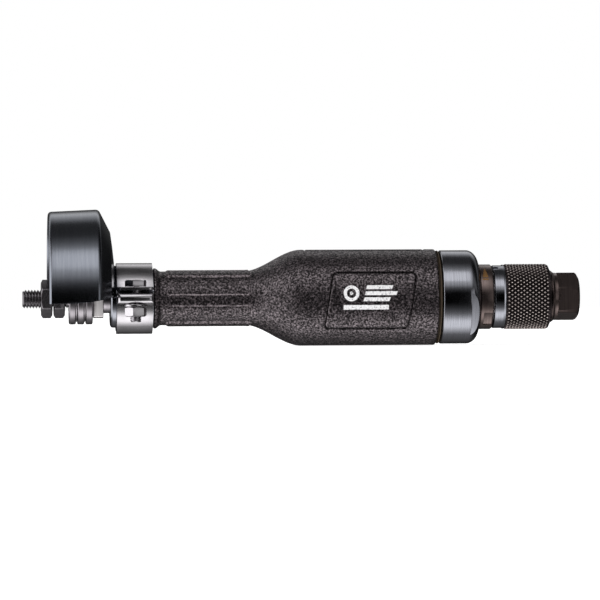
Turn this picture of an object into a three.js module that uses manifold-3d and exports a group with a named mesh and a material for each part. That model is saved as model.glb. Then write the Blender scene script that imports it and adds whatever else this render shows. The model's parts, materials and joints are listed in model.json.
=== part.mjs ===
// Extended straight air grinder with a wheel guard, a clamp band and a roll throttle.
// Millimetres. +X runs back along the tool from the spindle tip to the air inlet, +Z is up,
// and the origin is the centre of the spindle tip, on the tool axis.
import * as THREE from 'three';
import { mergeVertices } from 'three/addons/utils/BufferGeometryUtils.js';
import Module from 'manifold-3d';

const wasm = await Module();
wasm.setup();

// ---------------------------------------------------------------- clearances
const FIT = 0.3; // between pieces that touch, screw or press together
const ROLL = 0.3; // between a ball and its races

// ---------------------------------------------------------------- faceting
const FINE = 32; // sides of the guard, the grip, the end cap and the throttle sleeve
const MEDIUM = 24; // sides of the other large turned pieces
const SMALL = 16; // sides of shafts, bearings and small rings
const FLARE_STEPS = 6; // steps along the grip's flare

// ---------------------------------------------------------------- work spindle
const threadRadius = 4.76; // 3/8 inch
const threadPitch = 1.5875; // 16 turns to the inch
const threadDepth = 0.85;
const exposedThread = 9.6;
const nutThickness = 5.9;
const nutGap = 0.6;
const nutAcrossFlats = 17.4;
const flangeTravel = 1.7; // how far the loose outer flange can be drawn off
const flangeThickness = 3.6;
const flangeGap = 0.75;
const flangeRadius = 13.3;
const flangeRim = 0.5; // rounded rim
const flatsLength = 5.3;
const flatsHalfHeight = 9.4;
const flatsHalfWidth = 6.5;
const flatsBarRadius = 10.6;
const journalRadius = 7.5; // spindle where it enters the nose cap
const shaftRadius = 5.0; // spindle and rotor shaft in the bearings

// ---------------------------------------------------------------- nose and spindle housing
const noseRadius = 15.1; // cap and guard seat
const noseGap = 3.4; // from the spanner flats to the nose cap
const noseCapLength = 3.6;
const noseSpigotLength = 2.2;
const sealRadius = 10.0;
const sealWidth = 2.4;

// ---------------------------------------------------------------- bearings, built outwards from the shaft
const largeBearing = bearing({ innerWall: 1.9, ball: 1.5, outerWall: 1.9, width: 8.0, balls: 7 });
const smallBearing = bearing({ innerWall: 0.7, ball: 1.0, outerWall: 0.6, width: 5.0, balls: 9 });
const neckBearingDistance = 40.2; // from the grip's front end

// ---------------------------------------------------------------- wheel guard
const guardDepth = 32.3; // from the front edge to the back plate
const guardFrontRadius = 45.3;
const guardBackRadius = 46.3;
const guardSheet = 1.7;
const guardLip = 2.0; // front edge turned inwards
const guardWallLength = 25.3; // of the cylindrical wall, the cone makes up the rest
const guardPlateOffset = 0.3; // the back plate's front face behind the nose cap's front
const guardConeRadius = 34.9;
const guardHubFlare = 2.9; // foot of the back plate, proud of the collar
const guardEdgeDrop = 2.6; // how far the wall reaches below the axis at the front
const guardEdgeRise = 0.5; // height of the wall's edge above the axis at the back
const collarWall = 1.3;
const collarSlit = 3.0;

// ---------------------------------------------------------------- clamp band
const bandSetback = 3.3; // from the nose cap's front to the band
const bandWidth = 18.6;
const bandWall = 1.4;
const upperEarThickness = 1.5;
const lowerEarThickness = 5.6;
const earGap = 1.5;
const slitHeight = 3.6; // middle of the band's slit above the axis
const earReach = 11.8; // from the band to the ends of the ears
const earCorner = 2.4;
const clampBoltRadius = 3.0;
const clampBoltOffset = 6.0; // from the band to the bolt's axis
const clampHexAcrossFlats = 10.0;
const clampHeadHeight = 3.5;
const clampNutHeight = 5.0;
const clampWasherRadius = 5.9;
const clampWasherThickness = 1.0;
const clampBoltTail = 2.8; // thread past the nut
const clampHexTurn = THREE.MathUtils.degToRad(-16);

// ---------------------------------------------------------------- grip sleeve
const gripSetback = 0.6; // from the band to the grip
const gripLip = 0.6; // how far the lip stands proud of the guard seat
const gripLipLength = 3.8;
const gripNeckRadius = 14.0;
const gripBarrelRadius = 25.0;
const gripNeckLength = 47.2; // from the grip's front to the flare
const gripFlareLength = 29.8;
const gripBarrelLength = 70.1;
const gripWall = 1.5;
const ribCount = 8;
const ribSetback = 6.5; // from the grip's front to the ribs
const ribLength = 43.8;
const ribWidth = 5.6;
const ribHeight = 0.45;
const ribCorner = 1.4;
const ribTurn = THREE.MathUtils.degToRad(18); // first rib above the side of the tool
const badgeSetback = 10.6; // from the flare to the panel's lower front corner
const badgeLength = 44.0; // of the lower edge
const badgeTopLength = 42.9;
const badgeLean = 4.9; // how far the front edge leans back towards the top
const badgeTop = 12.9;
const badgeBottom = -16.2;
const badgeRaise = 0.4;
const badgeCorner = 2.2;

// ---------------------------------------------------------------- air motor
const motorWall = 2.5;
const housingSpigot = 2.6;
const linerLength = 36.0;
const linerBore = 17.5;
const linerOffset = 1.5; // the liner's bore lies above the rotor's axis
const rotorRadius = 15.7;
const vaneCount = 5;
const vaneThickness = 1.6;
const vaneSlotWidth = 2.2;
const vaneSlotFloor = 8.6;
const endPlateWeb = 0.9;
const dowelRadius = 1.0;
const waveWasherThickness = 0.6;
const waveWasherBore = 15.0;
const couplingLength = 16.0;
const couplingRadius = 8.6;
const couplingDistance = 13.0; // behind the start of the flare

// ---------------------------------------------------------------- end cap and rear collar
const gasketThickness = 1.7;
const gasketInset = 0.3; // below the grip's surface
const endCapInset = 0.6;
const endCapLength = 20.1;
const endCapShoulder = 6.1;
const endCapShoulderDrop = 7.2;
const endCapBackWall = 9.0;
const endCapFlatDepth = 3.2; // of the spanner flats
const endCapFlatTurn = THREE.MathUtils.degToRad(27); // below the side of the tool
const mufflerBore = 11.5;
const mufflerLength = 8.5;
const collarLength = 6.8;
const collarStep = 0.5; // above the throttle's plain band
const notchWidth = 9.0;
const notchLength = 4.4;
const notchDepth = 1.2;
const notchTurn = THREE.MathUtils.degToRad(45);

// ---------------------------------------------------------------- throttle and inlet
const throttleGap = 0.6;
const throttleLength = 30.4;
const throttleBandLength = 5.1;
const throttleWall = 3.2; // at the plain band
const knurlHeight = 0.8; // above the plain band
const throttleRearWall = 0.5;
const throttleRearChamfer = 1.2;
const throttleTravel = THREE.MathUtils.degToRad(60);
const valveRadius = 12.9;
const valveThreadRadius = 11.0;
const valvePassage = 6.0;
const valveChamber = 8.3;
const valveWeb = 2.5;
const drumLength = 11.9;
const drumWall = 2.5;
const drumPinOffset = 5.2; // from the drum's front face
const pinRadius = 1.5;
const portRadius = 1.8;
const portPitch = 3.6;
const oRingRadius = 0.75;
const screenThickness = 0.8;
const inletSpigotRadius = 9.5;
const inletShoulder = 0.3; // holds the throttle sleeve on
const inletNeckRadius = 12.4;
const inletConeLength = 1.5;
const inletNeckLength = 1.6;
const inletHexLength = 11.5;
const inletAcrossFlats = 22.0;
const inletHexTurn = THREE.MathUtils.degToRad(-12);
const inletFaceRadius = 9.6;
const inletThreadRadius = 5.9;
const inletThreadDepth = 13.3;
const inletPassage = 4.5;

// ---------------------------------------------------------------- stations along the axis
const jamNutX = exposedThread;
const wheelNutX = jamNutX + nutThickness + nutGap;
const outerFlangeX = wheelNutX + nutThickness + FIT + flangeTravel;
const spacerX = outerFlangeX + flangeThickness + flangeGap;
const innerFlangeX = spacerX + flangeThickness + flangeGap;
const flatsX = innerFlangeX + flangeThickness + FIT;
const journalX = flatsX + flatsLength;
const noseX = journalX + noseGap;
const housingX = noseX + noseCapLength + FIT;
const bandFrontX = noseX + bandSetback;
const bandRearX = bandFrontX + bandWidth;
const guardConeX = noseX + guardPlateOffset;
const guardFrontX = guardConeX - guardDepth;
const guardCornerX = guardFrontX + guardWallLength;
const gripFrontX = bandRearX + gripSetback;
const seatEnd = gripFrontX - FIT; // rear end of the guard seat
const ribStartX = gripFrontX + ribSetback;
const ribEndX = ribStartX + ribLength;
const neckBearingX = gripFrontX + neckBearingDistance;
const gripFlareStart = gripFrontX + gripNeckLength;
const gripFlareEnd = gripFlareStart + gripFlareLength;
const gripRearX = gripFlareEnd + gripBarrelLength;
const couplingX = gripFlareStart + couplingDistance;
const noseBearingX = housingX + noseSpigotLength + FIT;
const housingFlangeX = gripFlareEnd + housingSpigot;
const frontPlateX = housingFlangeX + housingSpigot + FIT;
const frontBearingX = frontPlateX + FIT;
const frontPlateEnd = frontBearingX + largeBearing.width + FIT + endPlateWeb;
const linerX = frontPlateEnd + FIT;
const linerEnd = linerX + linerLength;
const rearPlateX = linerEnd + FIT;
const rearBearingX = rearPlateX + endPlateWeb + FIT;
const rearPlateEnd = rearBearingX + largeBearing.width + FIT;
const waveWasherX = rearPlateEnd + FIT;
const capSpigotX = waveWasherX + waveWasherThickness + FIT;
const gasketX = gripRearX + FIT;
const endCapX = gasketX + gasketThickness + FIT;
const endCapEnd = endCapX + endCapLength;
const rearCollarX = endCapEnd + FIT;
const valveX = rearCollarX + collarLength + FIT;
const throttleX = rearCollarX + collarLength + throttleGap;
const throttleEnd = throttleX + throttleLength;
const knurlX = throttleX + throttleBandLength + knurlHeight;
const valveWebX = valveX + 2.3;
const drumX = valveWebX + valveWeb + FIT;
const screenX = drumX + drumLength + 2 * FIT;
const inletSpigotX = screenX + screenThickness + FIT;
const inletConeX = throttleEnd + FIT;
const inletNeckX = inletConeX + inletConeLength;
const inletHexX = inletNeckX + inletNeckLength;
const inletFaceX = inletHexX + inletHexLength;

// ---------------------------------------------------------------- radii that follow from a fit
const guardBore = noseRadius + FIT;
const guardCollarRadius = guardBore + collarWall;
const bandBore = guardCollarRadius + FIT;
const bandRadius = bandBore + bandWall;
const guardHubRadius = guardCollarRadius + guardHubFlare;
const earEndY = -bandRadius - earReach;
const clampBoltY = -bandRadius - clampBoltOffset;
const gripLipRadius = noseRadius + gripLip;
const gasketRadius = gripBarrelRadius - gasketInset;
const endCapRadius = gripBarrelRadius - endCapInset;
const endCapRearRadius = endCapRadius - endCapShoulderDrop;
const endCapFlatDistance = endCapRadius - endCapFlatDepth;
const motorRadius = gripBarrelRadius - gripWall - FIT;
const motorBore = motorRadius - motorWall;
const motorFit = motorBore - FIT; // end plates, liner and spigots inside the motor housing
const collarBore = valveThreadRadius + FIT;
const throttleBore = valveRadius + FIT;
const throttleBandRadius = throttleBore + throttleWall;
const throttleRearRadius = throttleBore + throttleRearWall;
const knurlRadius = throttleBandRadius + knurlHeight;
const inletConeRadius = throttleBore + inletShoulder;
const collarRadius = throttleBandRadius + collarStep;
const dowelHeight = -(linerBore - linerOffset + motorFit) / 2;
const clampBoltX = (bandFrontX + bandRearX) / 2;

// The radius through the balls' centres, and the radius of the pocket that holds the bearing.
function bearing(sizes) {
  const pitch = shaftRadius + FIT + sizes.innerWall + ROLL + sizes.ball;
  const pocket = pitch + sizes.ball + ROLL + sizes.outerWall + FIT;
  return { ...sizes, pitch, pocket };
}

// ---------------------------------------------------------------- solids from three.js geometry
// A closed geometry becomes a solid once its shared vertices are merged and it faces outwards.
function solid(geometry) {
  const bare = geometry.clone();
  bare.deleteAttribute('normal');
  bare.deleteAttribute('uv');
  const merged = mergeVertices(bare, 1e-4);
  const points = merged.getAttribute('position').array;
  const corners = Array.from(merged.index.array);
  const triangles = [];
  for (let i = 0; i < corners.length; i += 3) {
    const [a, b, c] = corners.slice(i, i + 3);
    if (a !== b && b !== c && c !== a) {
      triangles.push([a, b, c]);
    }
  }
  const point = (index) => new THREE.Vector3().fromArray(points, index * 3);
  const volume = triangles.reduce(
    (sum, [a, b, c]) => sum + point(a).dot(point(b).cross(point(c))), 0);
  if (volume < 0) {
    triangles.forEach((triangle) => triangle.reverse());
  }
  return new wasm.Manifold(new wasm.Mesh({
    numProp: 3,
    vertProperties: new Float32Array(points),
    triVerts: new Uint32Array(triangles.flat()),
  }));
}

// A profile of [x, radius] points, turned about the tool axis.
function turned(profile, sides = SMALL, turn = 0) {
  const outline = profile.map(([x, radius]) => new THREE.Vector2(radius, x));
  outline.push(outline[0].clone());
  const geometry = new THREE.LatheGeometry(outline, sides);
  geometry.rotateZ(-Math.PI / 2);
  geometry.rotateX(turn);
  return solid(geometry);
}

function rod(x0, x1, radius, sides = SMALL) {
  return turned([[x0, 0], [x0, radius], [x1, radius], [x1, 0]], sides);
}

function ring(x0, x1, bore, radius, sides = SMALL) {
  return turned([[x0, bore], [x0, radius], [x1, radius], [x1, bore]], sides);
}

function block(low, high, turn = 0) {
  const size = high.map((value, axis) => value - low[axis]);
  const geometry = new THREE.BoxGeometry(...size);
  geometry.translate(...high.map((value, axis) => (value + low[axis]) / 2));
  geometry.rotateX(turn);
  return solid(geometry);
}

// A rod along a radius of the tool: it starts on +Z and is turned about the axis.
function radialRod(x, r0, r1, radius, turn = 0, sides = SMALL) {
  const geometry = new THREE.CylinderGeometry(radius, radius, r1 - r0, sides);
  geometry.rotateX(Math.PI / 2);
  geometry.translate(x, 0, (r0 + r1) / 2);
  geometry.rotateX(turn);
  return solid(geometry);
}

// A rod across the tool along Z.
function uprightRod(x, y, z0, z1, radius, sides = SMALL, turn = 0) {
  const geometry = new THREE.CylinderGeometry(radius, radius, z1 - z0, sides);
  geometry.rotateX(Math.PI / 2);
  geometry.rotateZ(turn);
  geometry.translate(x, y, (z0 + z1) / 2);
  return solid(geometry);
}

// Shapes in the plane of two axes, pushed along the third.
function pushedX(shape, x0, x1, segments) {
  const geometry = extrusion(shape, x1 - x0, segments);
  geometry.applyMatrix4(new THREE.Matrix4().makeBasis(
    new THREE.Vector3(0, 1, 0), new THREE.Vector3(0, 0, 1), new THREE.Vector3(1, 0, 0)));
  geometry.translate(x0, 0, 0);
  return solid(geometry);
}

function pushedY(shape, y0, y1, segments, turn = 0) {
  const geometry = extrusion(shape, y1 - y0, segments);
  geometry.rotateX(Math.PI / 2);
  geometry.translate(0, y1, 0);
  geometry.rotateX(turn);
  return solid(geometry);
}

function pushedZ(shape, z0, z1, segments) {
  const geometry = extrusion(shape, z1 - z0, segments);
  geometry.translate(0, 0, z0);
  return solid(geometry);
}

function extrusion(shape, depth, segments = 4) {
  return new THREE.ExtrudeGeometry(shape, { depth, bevelEnabled: false, curveSegments: segments });
}

// A polygon with every corner rounded to the same radius.
function roundedPolygon(corners, radius) {
  const shape = new THREE.Shape();
  const points = corners.map(([u, v]) => new THREE.Vector2(u, v));
  points.forEach((corner, i) => {
    const before = points[(i + points.length - 1) % points.length];
    const after = points[(i + 1) % points.length];
    const start = corner.clone().add(before.clone().sub(corner).setLength(radius));
    const end = corner.clone().add(after.clone().sub(corner).setLength(radius));
    if (i === 0) {
      shape.moveTo(start.x, start.y);
    } else {
      shape.lineTo(start.x, start.y);
    }
    shape.quadraticCurveTo(corner.x, corner.y, end.x, end.y);
  });
  shape.closePath();
  return shape;
}

function rectangle(u0, u1, v0, v1) {
  return [[u0, v0], [u1, v0], [u1, v1], [u0, v1]];
}

function union(solids) {
  return solids.reduce((whole, next) => whole.add(next));
}

// A hexagon about the tool axis with both its ends chamfered.
function hexBar(x0, x1, acrossFlats, turn, frontFace, rearFace) {
  const cornerRadius = acrossFlats / Math.sqrt(3);
  const geometry = new THREE.CylinderGeometry(cornerRadius, cornerRadius, x1 - x0, 6);
  geometry.rotateZ(-Math.PI / 2);
  geometry.translate((x0 + x1) / 2, 0, 0);
  geometry.rotateX(turn);
  const frontChamfer = (cornerRadius - frontFace) * 0.58;
  const rearChamfer = (cornerRadius - rearFace) * 0.58;
  const envelope = turned([
    [x0, 0], [x0, frontFace], [x0 + frontChamfer, cornerRadius],
    [x1 - rearChamfer, cornerRadius], [x1, rearFace], [x1, 0],
  ], SMALL, turn);
  return solid(geometry).intersect(envelope);
}

// ---------------------------------------------------------------- finishes
const BLACK_OXIDE = { color: 0x1d1c1f, roughness: 0.5, metalness: 0.8 };
const BLUED_STEEL = { color: 0x26272c, roughness: 0.3, metalness: 0.8 };
const GREY_STEEL = { color: 0x77757a, roughness: 0.38, metalness: 0.95 };
const BRIGHT_STEEL = { color: 0xc4c2c4, roughness: 0.25, metalness: 1.0 };
const BEARING_STEEL = { color: 0xb5b7bb, roughness: 0.2, metalness: 1.0 };
const BROWNED_STEEL = { color: 0x2c2523, roughness: 0.42, metalness: 0.8 };
const GRIP_COMPOSITE = { color: 0x2e2a2c, roughness: 0.75, metalness: 0.0 };
const RUBBER = { color: 0x151515, roughness: 0.8, metalness: 0.0 };
const GASKET_PAPER = { color: 0x8c6f45, roughness: 0.8, metalness: 0.0 };
const VANE_COMPOSITE = { color: 0x5b3d24, roughness: 0.6, metalness: 0.0 };
const FELT = { color: 0x8f8b80, roughness: 1.0, metalness: 0.0 };
const BRASS = { color: 0xb08d4a, roughness: 0.35, metalness: 1.0 };

const grinder = new THREE.Group();

function add(name, body, finish) {
  const mesh = body.getMesh();
  const geometry = new THREE.BufferGeometry();
  geometry.setAttribute('position', new THREE.BufferAttribute(mesh.vertProperties, 3));
  geometry.setIndex(new THREE.BufferAttribute(mesh.triVerts, 1));
  geometry.computeVertexNormals();
  const piece = new THREE.Mesh(geometry, new THREE.MeshStandardMaterial(finish));
  piece.name = name;
  grinder.add(piece);
}

// ---------------------------------------------------------------- spindle
// The thread is drawn as one V groove for each turn: the helix has no part in any fit.
function makeSpindle() {
  const root = threadRadius - threadDepth;
  const turns = Math.floor(exposedThread / threadPitch);
  const profile = [[0, 0], [0, root]];
  for (let turn = 0; turn < turns; turn += 1) {
    const x = 0.4 + turn * threadPitch;
    profile.push([x, root], [x + threadPitch / 2, threadRadius]);
  }
  const spindleEnd = couplingX + couplingLength / 2 - FIT;
  const journalEnd = noseBearingX - FIT;
  profile.push(
    [exposedThread, root], [exposedThread + 0.5, threadRadius - FIT],
    [flatsX, threadRadius - FIT], [flatsX, journalRadius],
    [journalEnd, journalRadius], [journalEnd, shaftRadius], [spindleEnd, shaftRadius], [spindleEnd, 0]);
  const flats = rod(flatsX, journalX, flatsBarRadius, MEDIUM).intersect(
    block([flatsX - 1, -flatsHalfWidth, -flatsHalfHeight], [journalX + 1, flatsHalfWidth, flatsHalfHeight]));
  return turned(profile).add(flats);
}

function makeNut(x) {
  const face = nutAcrossFlats / 2 - 0.3;
  return hexBar(x, x + nutThickness, nutAcrossFlats, 0, face, face)
    .subtract(rod(x - 1, x + nutThickness + 1, threadRadius));
}

function makeFlange(x) {
  return turned([
    [x, threadRadius], [x, flangeRadius - flangeRim], [x + flangeRim, flangeRadius],
    [x + flangeThickness - flangeRim, flangeRadius], [x + flangeThickness, flangeRadius - flangeRim],
    [x + flangeThickness, threadRadius],
  ], MEDIUM);
}

function makeSpindleGroup() {
  add('spindle', makeSpindle(), BLACK_OXIDE);
  add('jam_nut', makeNut(jamNutX), BLACK_OXIDE);
  add('wheel_nut', makeNut(wheelNutX), BLACK_OXIDE);
  add('outer_flange', makeFlange(outerFlangeX), GREY_STEEL);
  add('flange_spacer', makeFlange(spacerX), GREY_STEEL);
  add('inner_flange', makeFlange(innerFlangeX), GREY_STEEL);
  const spacerStart = noseBearingX + largeBearing.width + FIT;
  add('bearing_spacer',
    ring(spacerStart, neckBearingX - FIT, shaftRadius + FIT, shaftRadius + 1.8), GREY_STEEL);
  add('shaft_coupling',
    ring(couplingX, couplingX + couplingLength, shaftRadius + FIT, couplingRadius), GREY_STEEL);
}

// ---------------------------------------------------------------- bearings
// Each bearing is an inner race, an outer race, and a cage that carries its balls.
function addBearing(name, x, sizes) {
  const innerRadius = sizes.pitch - sizes.ball - ROLL;
  const outerRadius = sizes.pitch + sizes.ball + ROLL;
  const end = x + sizes.width;
  const middle = x + sizes.width / 2;
  add(`${name}_inner_race`, ring(x, end, shaftRadius + FIT, innerRadius), BEARING_STEEL);
  add(`${name}_outer_race`, ring(x, end, outerRadius, sizes.pocket - FIT), BEARING_STEEL);
  const balls = Array.from({ length: sizes.balls }, (_, i) => {
    const geometry = new THREE.SphereGeometry(sizes.ball, 5, 3);
    geometry.translate(middle, 0, sizes.pitch);
    geometry.rotateX(2 * Math.PI * i / sizes.balls);
    return solid(geometry);
  });
  const half = sizes.ball * 0.6;
  const cage = ring(middle - half, middle + half, sizes.pitch - 0.4, sizes.pitch + 0.4);
  add(`${name}_cage`, union([cage, ...balls]), BRASS);
}

function makeBearings() {
  addBearing('nose_bearing', noseBearingX, largeBearing);
  addBearing('neck_bearing', neckBearingX, smallBearing);
  addBearing('motor_front_bearing', frontBearingX, largeBearing);
  addBearing('motor_rear_bearing', rearBearingX, largeBearing);
}

// ---------------------------------------------------------------- nose and spindle housing
// The flare rises smoothly from the neck to the barrel.
function flare(neckRadius, barrelRadius) {
  const points = [];
  for (let step = 0; step <= FLARE_STEPS; step += 1) {
    const t = step / FLARE_STEPS;
    const rise = t * t * (3 - 2 * t);
    points.push([
      gripFlareStart + t * (gripFlareEnd - gripFlareStart),
      neckRadius + rise * (barrelRadius - neckRadius),
    ]);
  }
  return points;
}

function makeNose() {
  const capEnd = noseX + noseCapLength;
  const spigotEnd = capEnd + FIT + noseSpigotLength;
  const sealX = spigotEnd - FIT - sealWidth;
  const bore = journalRadius + FIT;
  const spigot = largeBearing.pocket - FIT;
  add('nose_cap', turned([
    [noseX, bore], [noseX, noseRadius - 1.2], [noseX + 0.4, noseRadius - 0.35], [noseX + 1.2, noseRadius],
    [capEnd, noseRadius], [capEnd, spigot], [spigotEnd, spigot], [spigotEnd, sealRadius + FIT],
    [sealX - FIT, sealRadius + FIT], [sealX - FIT, bore],
  ], MEDIUM), BLACK_OXIDE);
  add('nose_seal', ring(sealX, sealX + sealWidth, bore, sealRadius), RUBBER);
}

function makeSpindleHousing() {
  const neck = gripNeckRadius - gripWall - FIT;
  const pocketEnd = noseBearingX + largeBearing.width + FIT;
  const shoulderX = neckBearingX + smallBearing.width + FIT;
  const shoulderBore = shaftRadius + 1.5;
  add('spindle_housing', turned([
    [housingX, largeBearing.pocket], [housingX, noseRadius], [seatEnd, noseRadius], [seatEnd, neck],
    ...flare(neck, motorRadius), [housingFlangeX, motorRadius], [housingFlangeX, motorFit],
    [housingFlangeX + housingSpigot, motorFit], [housingFlangeX + housingSpigot, motorFit - motorWall],
    ...flare(smallBearing.pocket, motorFit - motorWall).slice(2).reverse(),
    [shoulderX + 2.5, smallBearing.pocket], [shoulderX + 2.5, shoulderBore],
    [shoulderX, shoulderBore], [shoulderX, smallBearing.pocket], [pocketEnd, smallBearing.pocket],
    [pocketEnd, largeBearing.pocket],
  ], MEDIUM), BLUED_STEEL);
}

// ---------------------------------------------------------------- wheel guard
// Pressed sheet: a drum wall with a turned-in lip, a cone, a back plate and a collar.
function makeGuard() {
  const s = guardSheet;
  const collarEnd = bandRearX - 0.6;
  const sheet = turned([
    [guardFrontX, guardFrontRadius - guardLip], [guardFrontX, guardFrontRadius - 1.1],
    [guardFrontX + 0.4, guardFrontRadius - 0.3], [guardFrontX + 1.3, guardFrontRadius],
    [guardCornerX, guardBackRadius], [guardCornerX + 1.4, guardBackRadius - 0.6],
    [guardCornerX + 2.0, guardBackRadius - 2.2], [guardConeX, guardConeRadius],
    [guardConeX + s, guardHubRadius], [bandFrontX - FIT, guardCollarRadius + 1.2],
    [bandFrontX - FIT, guardCollarRadius],
    [collarEnd, guardCollarRadius], [collarEnd, guardBore], [guardConeX + 0.2, guardBore],
    [guardConeX, guardHubRadius - 1.2], [guardConeX - s, guardConeRadius - 0.8],
    [guardCornerX + 0.4, guardBackRadius - 2.8], [guardCornerX - 0.6, guardBackRadius - s],
    [guardFrontX + s, guardFrontRadius - s], [guardFrontX + s, guardFrontRadius - guardLip],
  ], FINE);
  const below = new THREE.Shape();
  const middleX = (guardFrontX + guardCornerX) / 2;
  const openEnd = bandFrontX - FIT;
  below.moveTo(guardFrontX - 1, -guardEdgeDrop);
  below.lineTo(middleX - 4, -guardEdgeDrop);
  below.quadraticCurveTo(middleX + 8, -guardEdgeDrop, guardConeX, guardEdgeRise);
  below.lineTo(openEnd, guardEdgeRise);
  below.lineTo(openEnd, -guardBackRadius - 1);
  below.lineTo(guardFrontX - 1, -guardBackRadius - 1);
  below.closePath();
  const opening = pushedY(below, -guardBackRadius - 1, guardBackRadius + 1, 6);
  const slit = block([openEnd - 0.1, -guardCollarRadius - 1, slitHeight - collarSlit / 2],
    [collarEnd + 1, 0, slitHeight + collarSlit / 2]);
  add('wheel_guard', sheet.subtract(opening).subtract(slit), BLUED_STEEL);
}

// ---------------------------------------------------------------- clamp band
function ear(z0, z1) {
  const outline = roundedPolygon(rectangle(bandFrontX, bandRearX, earEndY, -bandBore / 2), earCorner);
  return pushedZ(outline, z0, z1, 3);
}

function makeClamp() {
  const slitLow = slitHeight - earGap / 2;
  const slitHigh = slitHeight + earGap / 2;
  const upperTop = slitHigh + upperEarThickness;
  const lowerBottom = slitLow - lowerEarThickness;
  const roundedEnd = lowerEarThickness / 2;
  const foldX = [bandFrontX, bandRearX];
  const fold = new THREE.Shape();
  fold.moveTo(-bandBore / 2, lowerBottom);
  fold.lineTo(-bandBore / 2, slitLow);
  fold.lineTo(earEndY + roundedEnd, slitLow);
  fold.absarc(earEndY + roundedEnd, (slitLow + lowerBottom) / 2, roundedEnd, Math.PI / 2, 1.5 * Math.PI);
  fold.closePath();
  const lowerEar = pushedX(fold, ...foldX, 8).intersect(ear(lowerBottom, slitLow));
  const slit = block([bandFrontX - 1, -bandRadius - 1, slitLow], [bandRearX + 1, 0, slitHigh]);
  const band = ring(bandFrontX, bandRearX, bandBore, bandRadius, MEDIUM)
    .subtract(slit)
    .add(ear(slitHigh, upperTop))
    .add(lowerEar)
    .subtract(rod(bandFrontX - 1, bandRearX + 1, bandBore, MEDIUM))
    .subtract(uprightRod(clampBoltX, clampBoltY, lowerBottom - 1, upperTop + 1, clampBoltRadius + FIT));
  add('clamp_band', band, BRIGHT_STEEL);

  const hexRadius = clampHexAcrossFlats / Math.sqrt(3);
  const headZ = upperTop + FIT;
  const washerTop = lowerBottom - FIT;
  const nutTop = washerTop - clampWasherThickness - FIT;
  const nutBottom = nutTop - clampNutHeight;
  const head = uprightRod(clampBoltX, clampBoltY, headZ, headZ + clampHeadHeight, hexRadius, 6, clampHexTurn);
  const shankEnd = nutBottom - clampBoltTail;
  add('clamp_bolt',
    head.add(uprightRod(clampBoltX, clampBoltY, shankEnd, headZ + 1, clampBoltRadius)), BRIGHT_STEEL);
  const hole = uprightRod(clampBoltX, clampBoltY, nutBottom - 1, washerTop + 1, clampBoltRadius + FIT);
  add('clamp_washer', uprightRod(clampBoltX, clampBoltY, washerTop - clampWasherThickness, washerTop,
    clampWasherRadius).subtract(hole), BRIGHT_STEEL);
  add('clamp_nut', uprightRod(clampBoltX, clampBoltY, nutBottom, nutTop, hexRadius, 6, clampHexTurn)
    .subtract(hole), BRIGHT_STEEL);
}

// ---------------------------------------------------------------- grip sleeve
// One moulded sleeve with a lipped front end, a ribbed neck, a flare and a raised badge panel.
function gripOutline(raise) {
  return flare(gripNeckRadius + raise, gripBarrelRadius + raise);
}

function makeGrip() {
  const neckX = gripFrontX + gripLipLength;
  const bore = gripNeckRadius - gripWall;
  const sleeve = turned([
    [gripFrontX, bore], [gripFrontX, gripLipRadius - 0.4], [gripFrontX + 0.4, gripLipRadius],
    [gripFrontX + 1.0, gripLipRadius], [neckX, gripNeckRadius],
    ...gripOutline(0), [gripRearX - 0.6, gripBarrelRadius], [gripRearX, gripBarrelRadius - 0.6],
    [gripRearX, gripBarrelRadius - gripWall], ...flare(bore, gripBarrelRadius - gripWall).reverse(),
  ], FINE);
  const skin = turned([
    [neckX, gripNeckRadius - 0.4], [neckX, gripNeckRadius + ribHeight], ...gripOutline(ribHeight).slice(0, 4),
    ...gripOutline(-0.4).slice(0, 4).reverse(),
  ], FINE);
  const ribs = Array.from({ length: ribCount }, (_, i) => pushedY(
    roundedPolygon(rectangle(ribStartX, ribEndX, -ribWidth / 2, ribWidth / 2), ribCorner),
    -gripBarrelRadius, -gripNeckRadius + 1, 2, -ribTurn - 2 * Math.PI * i / ribCount));
  const badgeX = gripFlareEnd + badgeSetback;
  const badgeTopX = badgeX + badgeLean;
  const panelSkin = ring(badgeX - 1, badgeTopX + badgeTopLength + 1,
    gripBarrelRadius - 0.5, gripBarrelRadius + badgeRaise, FINE);
  const panel = pushedY(roundedPolygon([
    [badgeTopX, badgeTop], [badgeTopX + badgeTopLength, badgeTop],
    [badgeX + badgeLength, badgeBottom], [badgeX, badgeBottom],
  ], badgeCorner), -gripBarrelRadius - 2, 0, 3);
  add('grip_sleeve',
    sleeve.add(skin.intersect(union(ribs))).add(panelSkin.intersect(panel)), GRIP_COMPOSITE);
}

// ---------------------------------------------------------------- air motor
function dowelHole(x0, x1) {
  const geometry = new THREE.CylinderGeometry(dowelRadius + FIT, dowelRadius + FIT, x1 - x0, 12);
  geometry.rotateZ(-Math.PI / 2);
  geometry.translate((x0 + x1) / 2, 0, dowelHeight);
  return solid(geometry);
}

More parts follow.
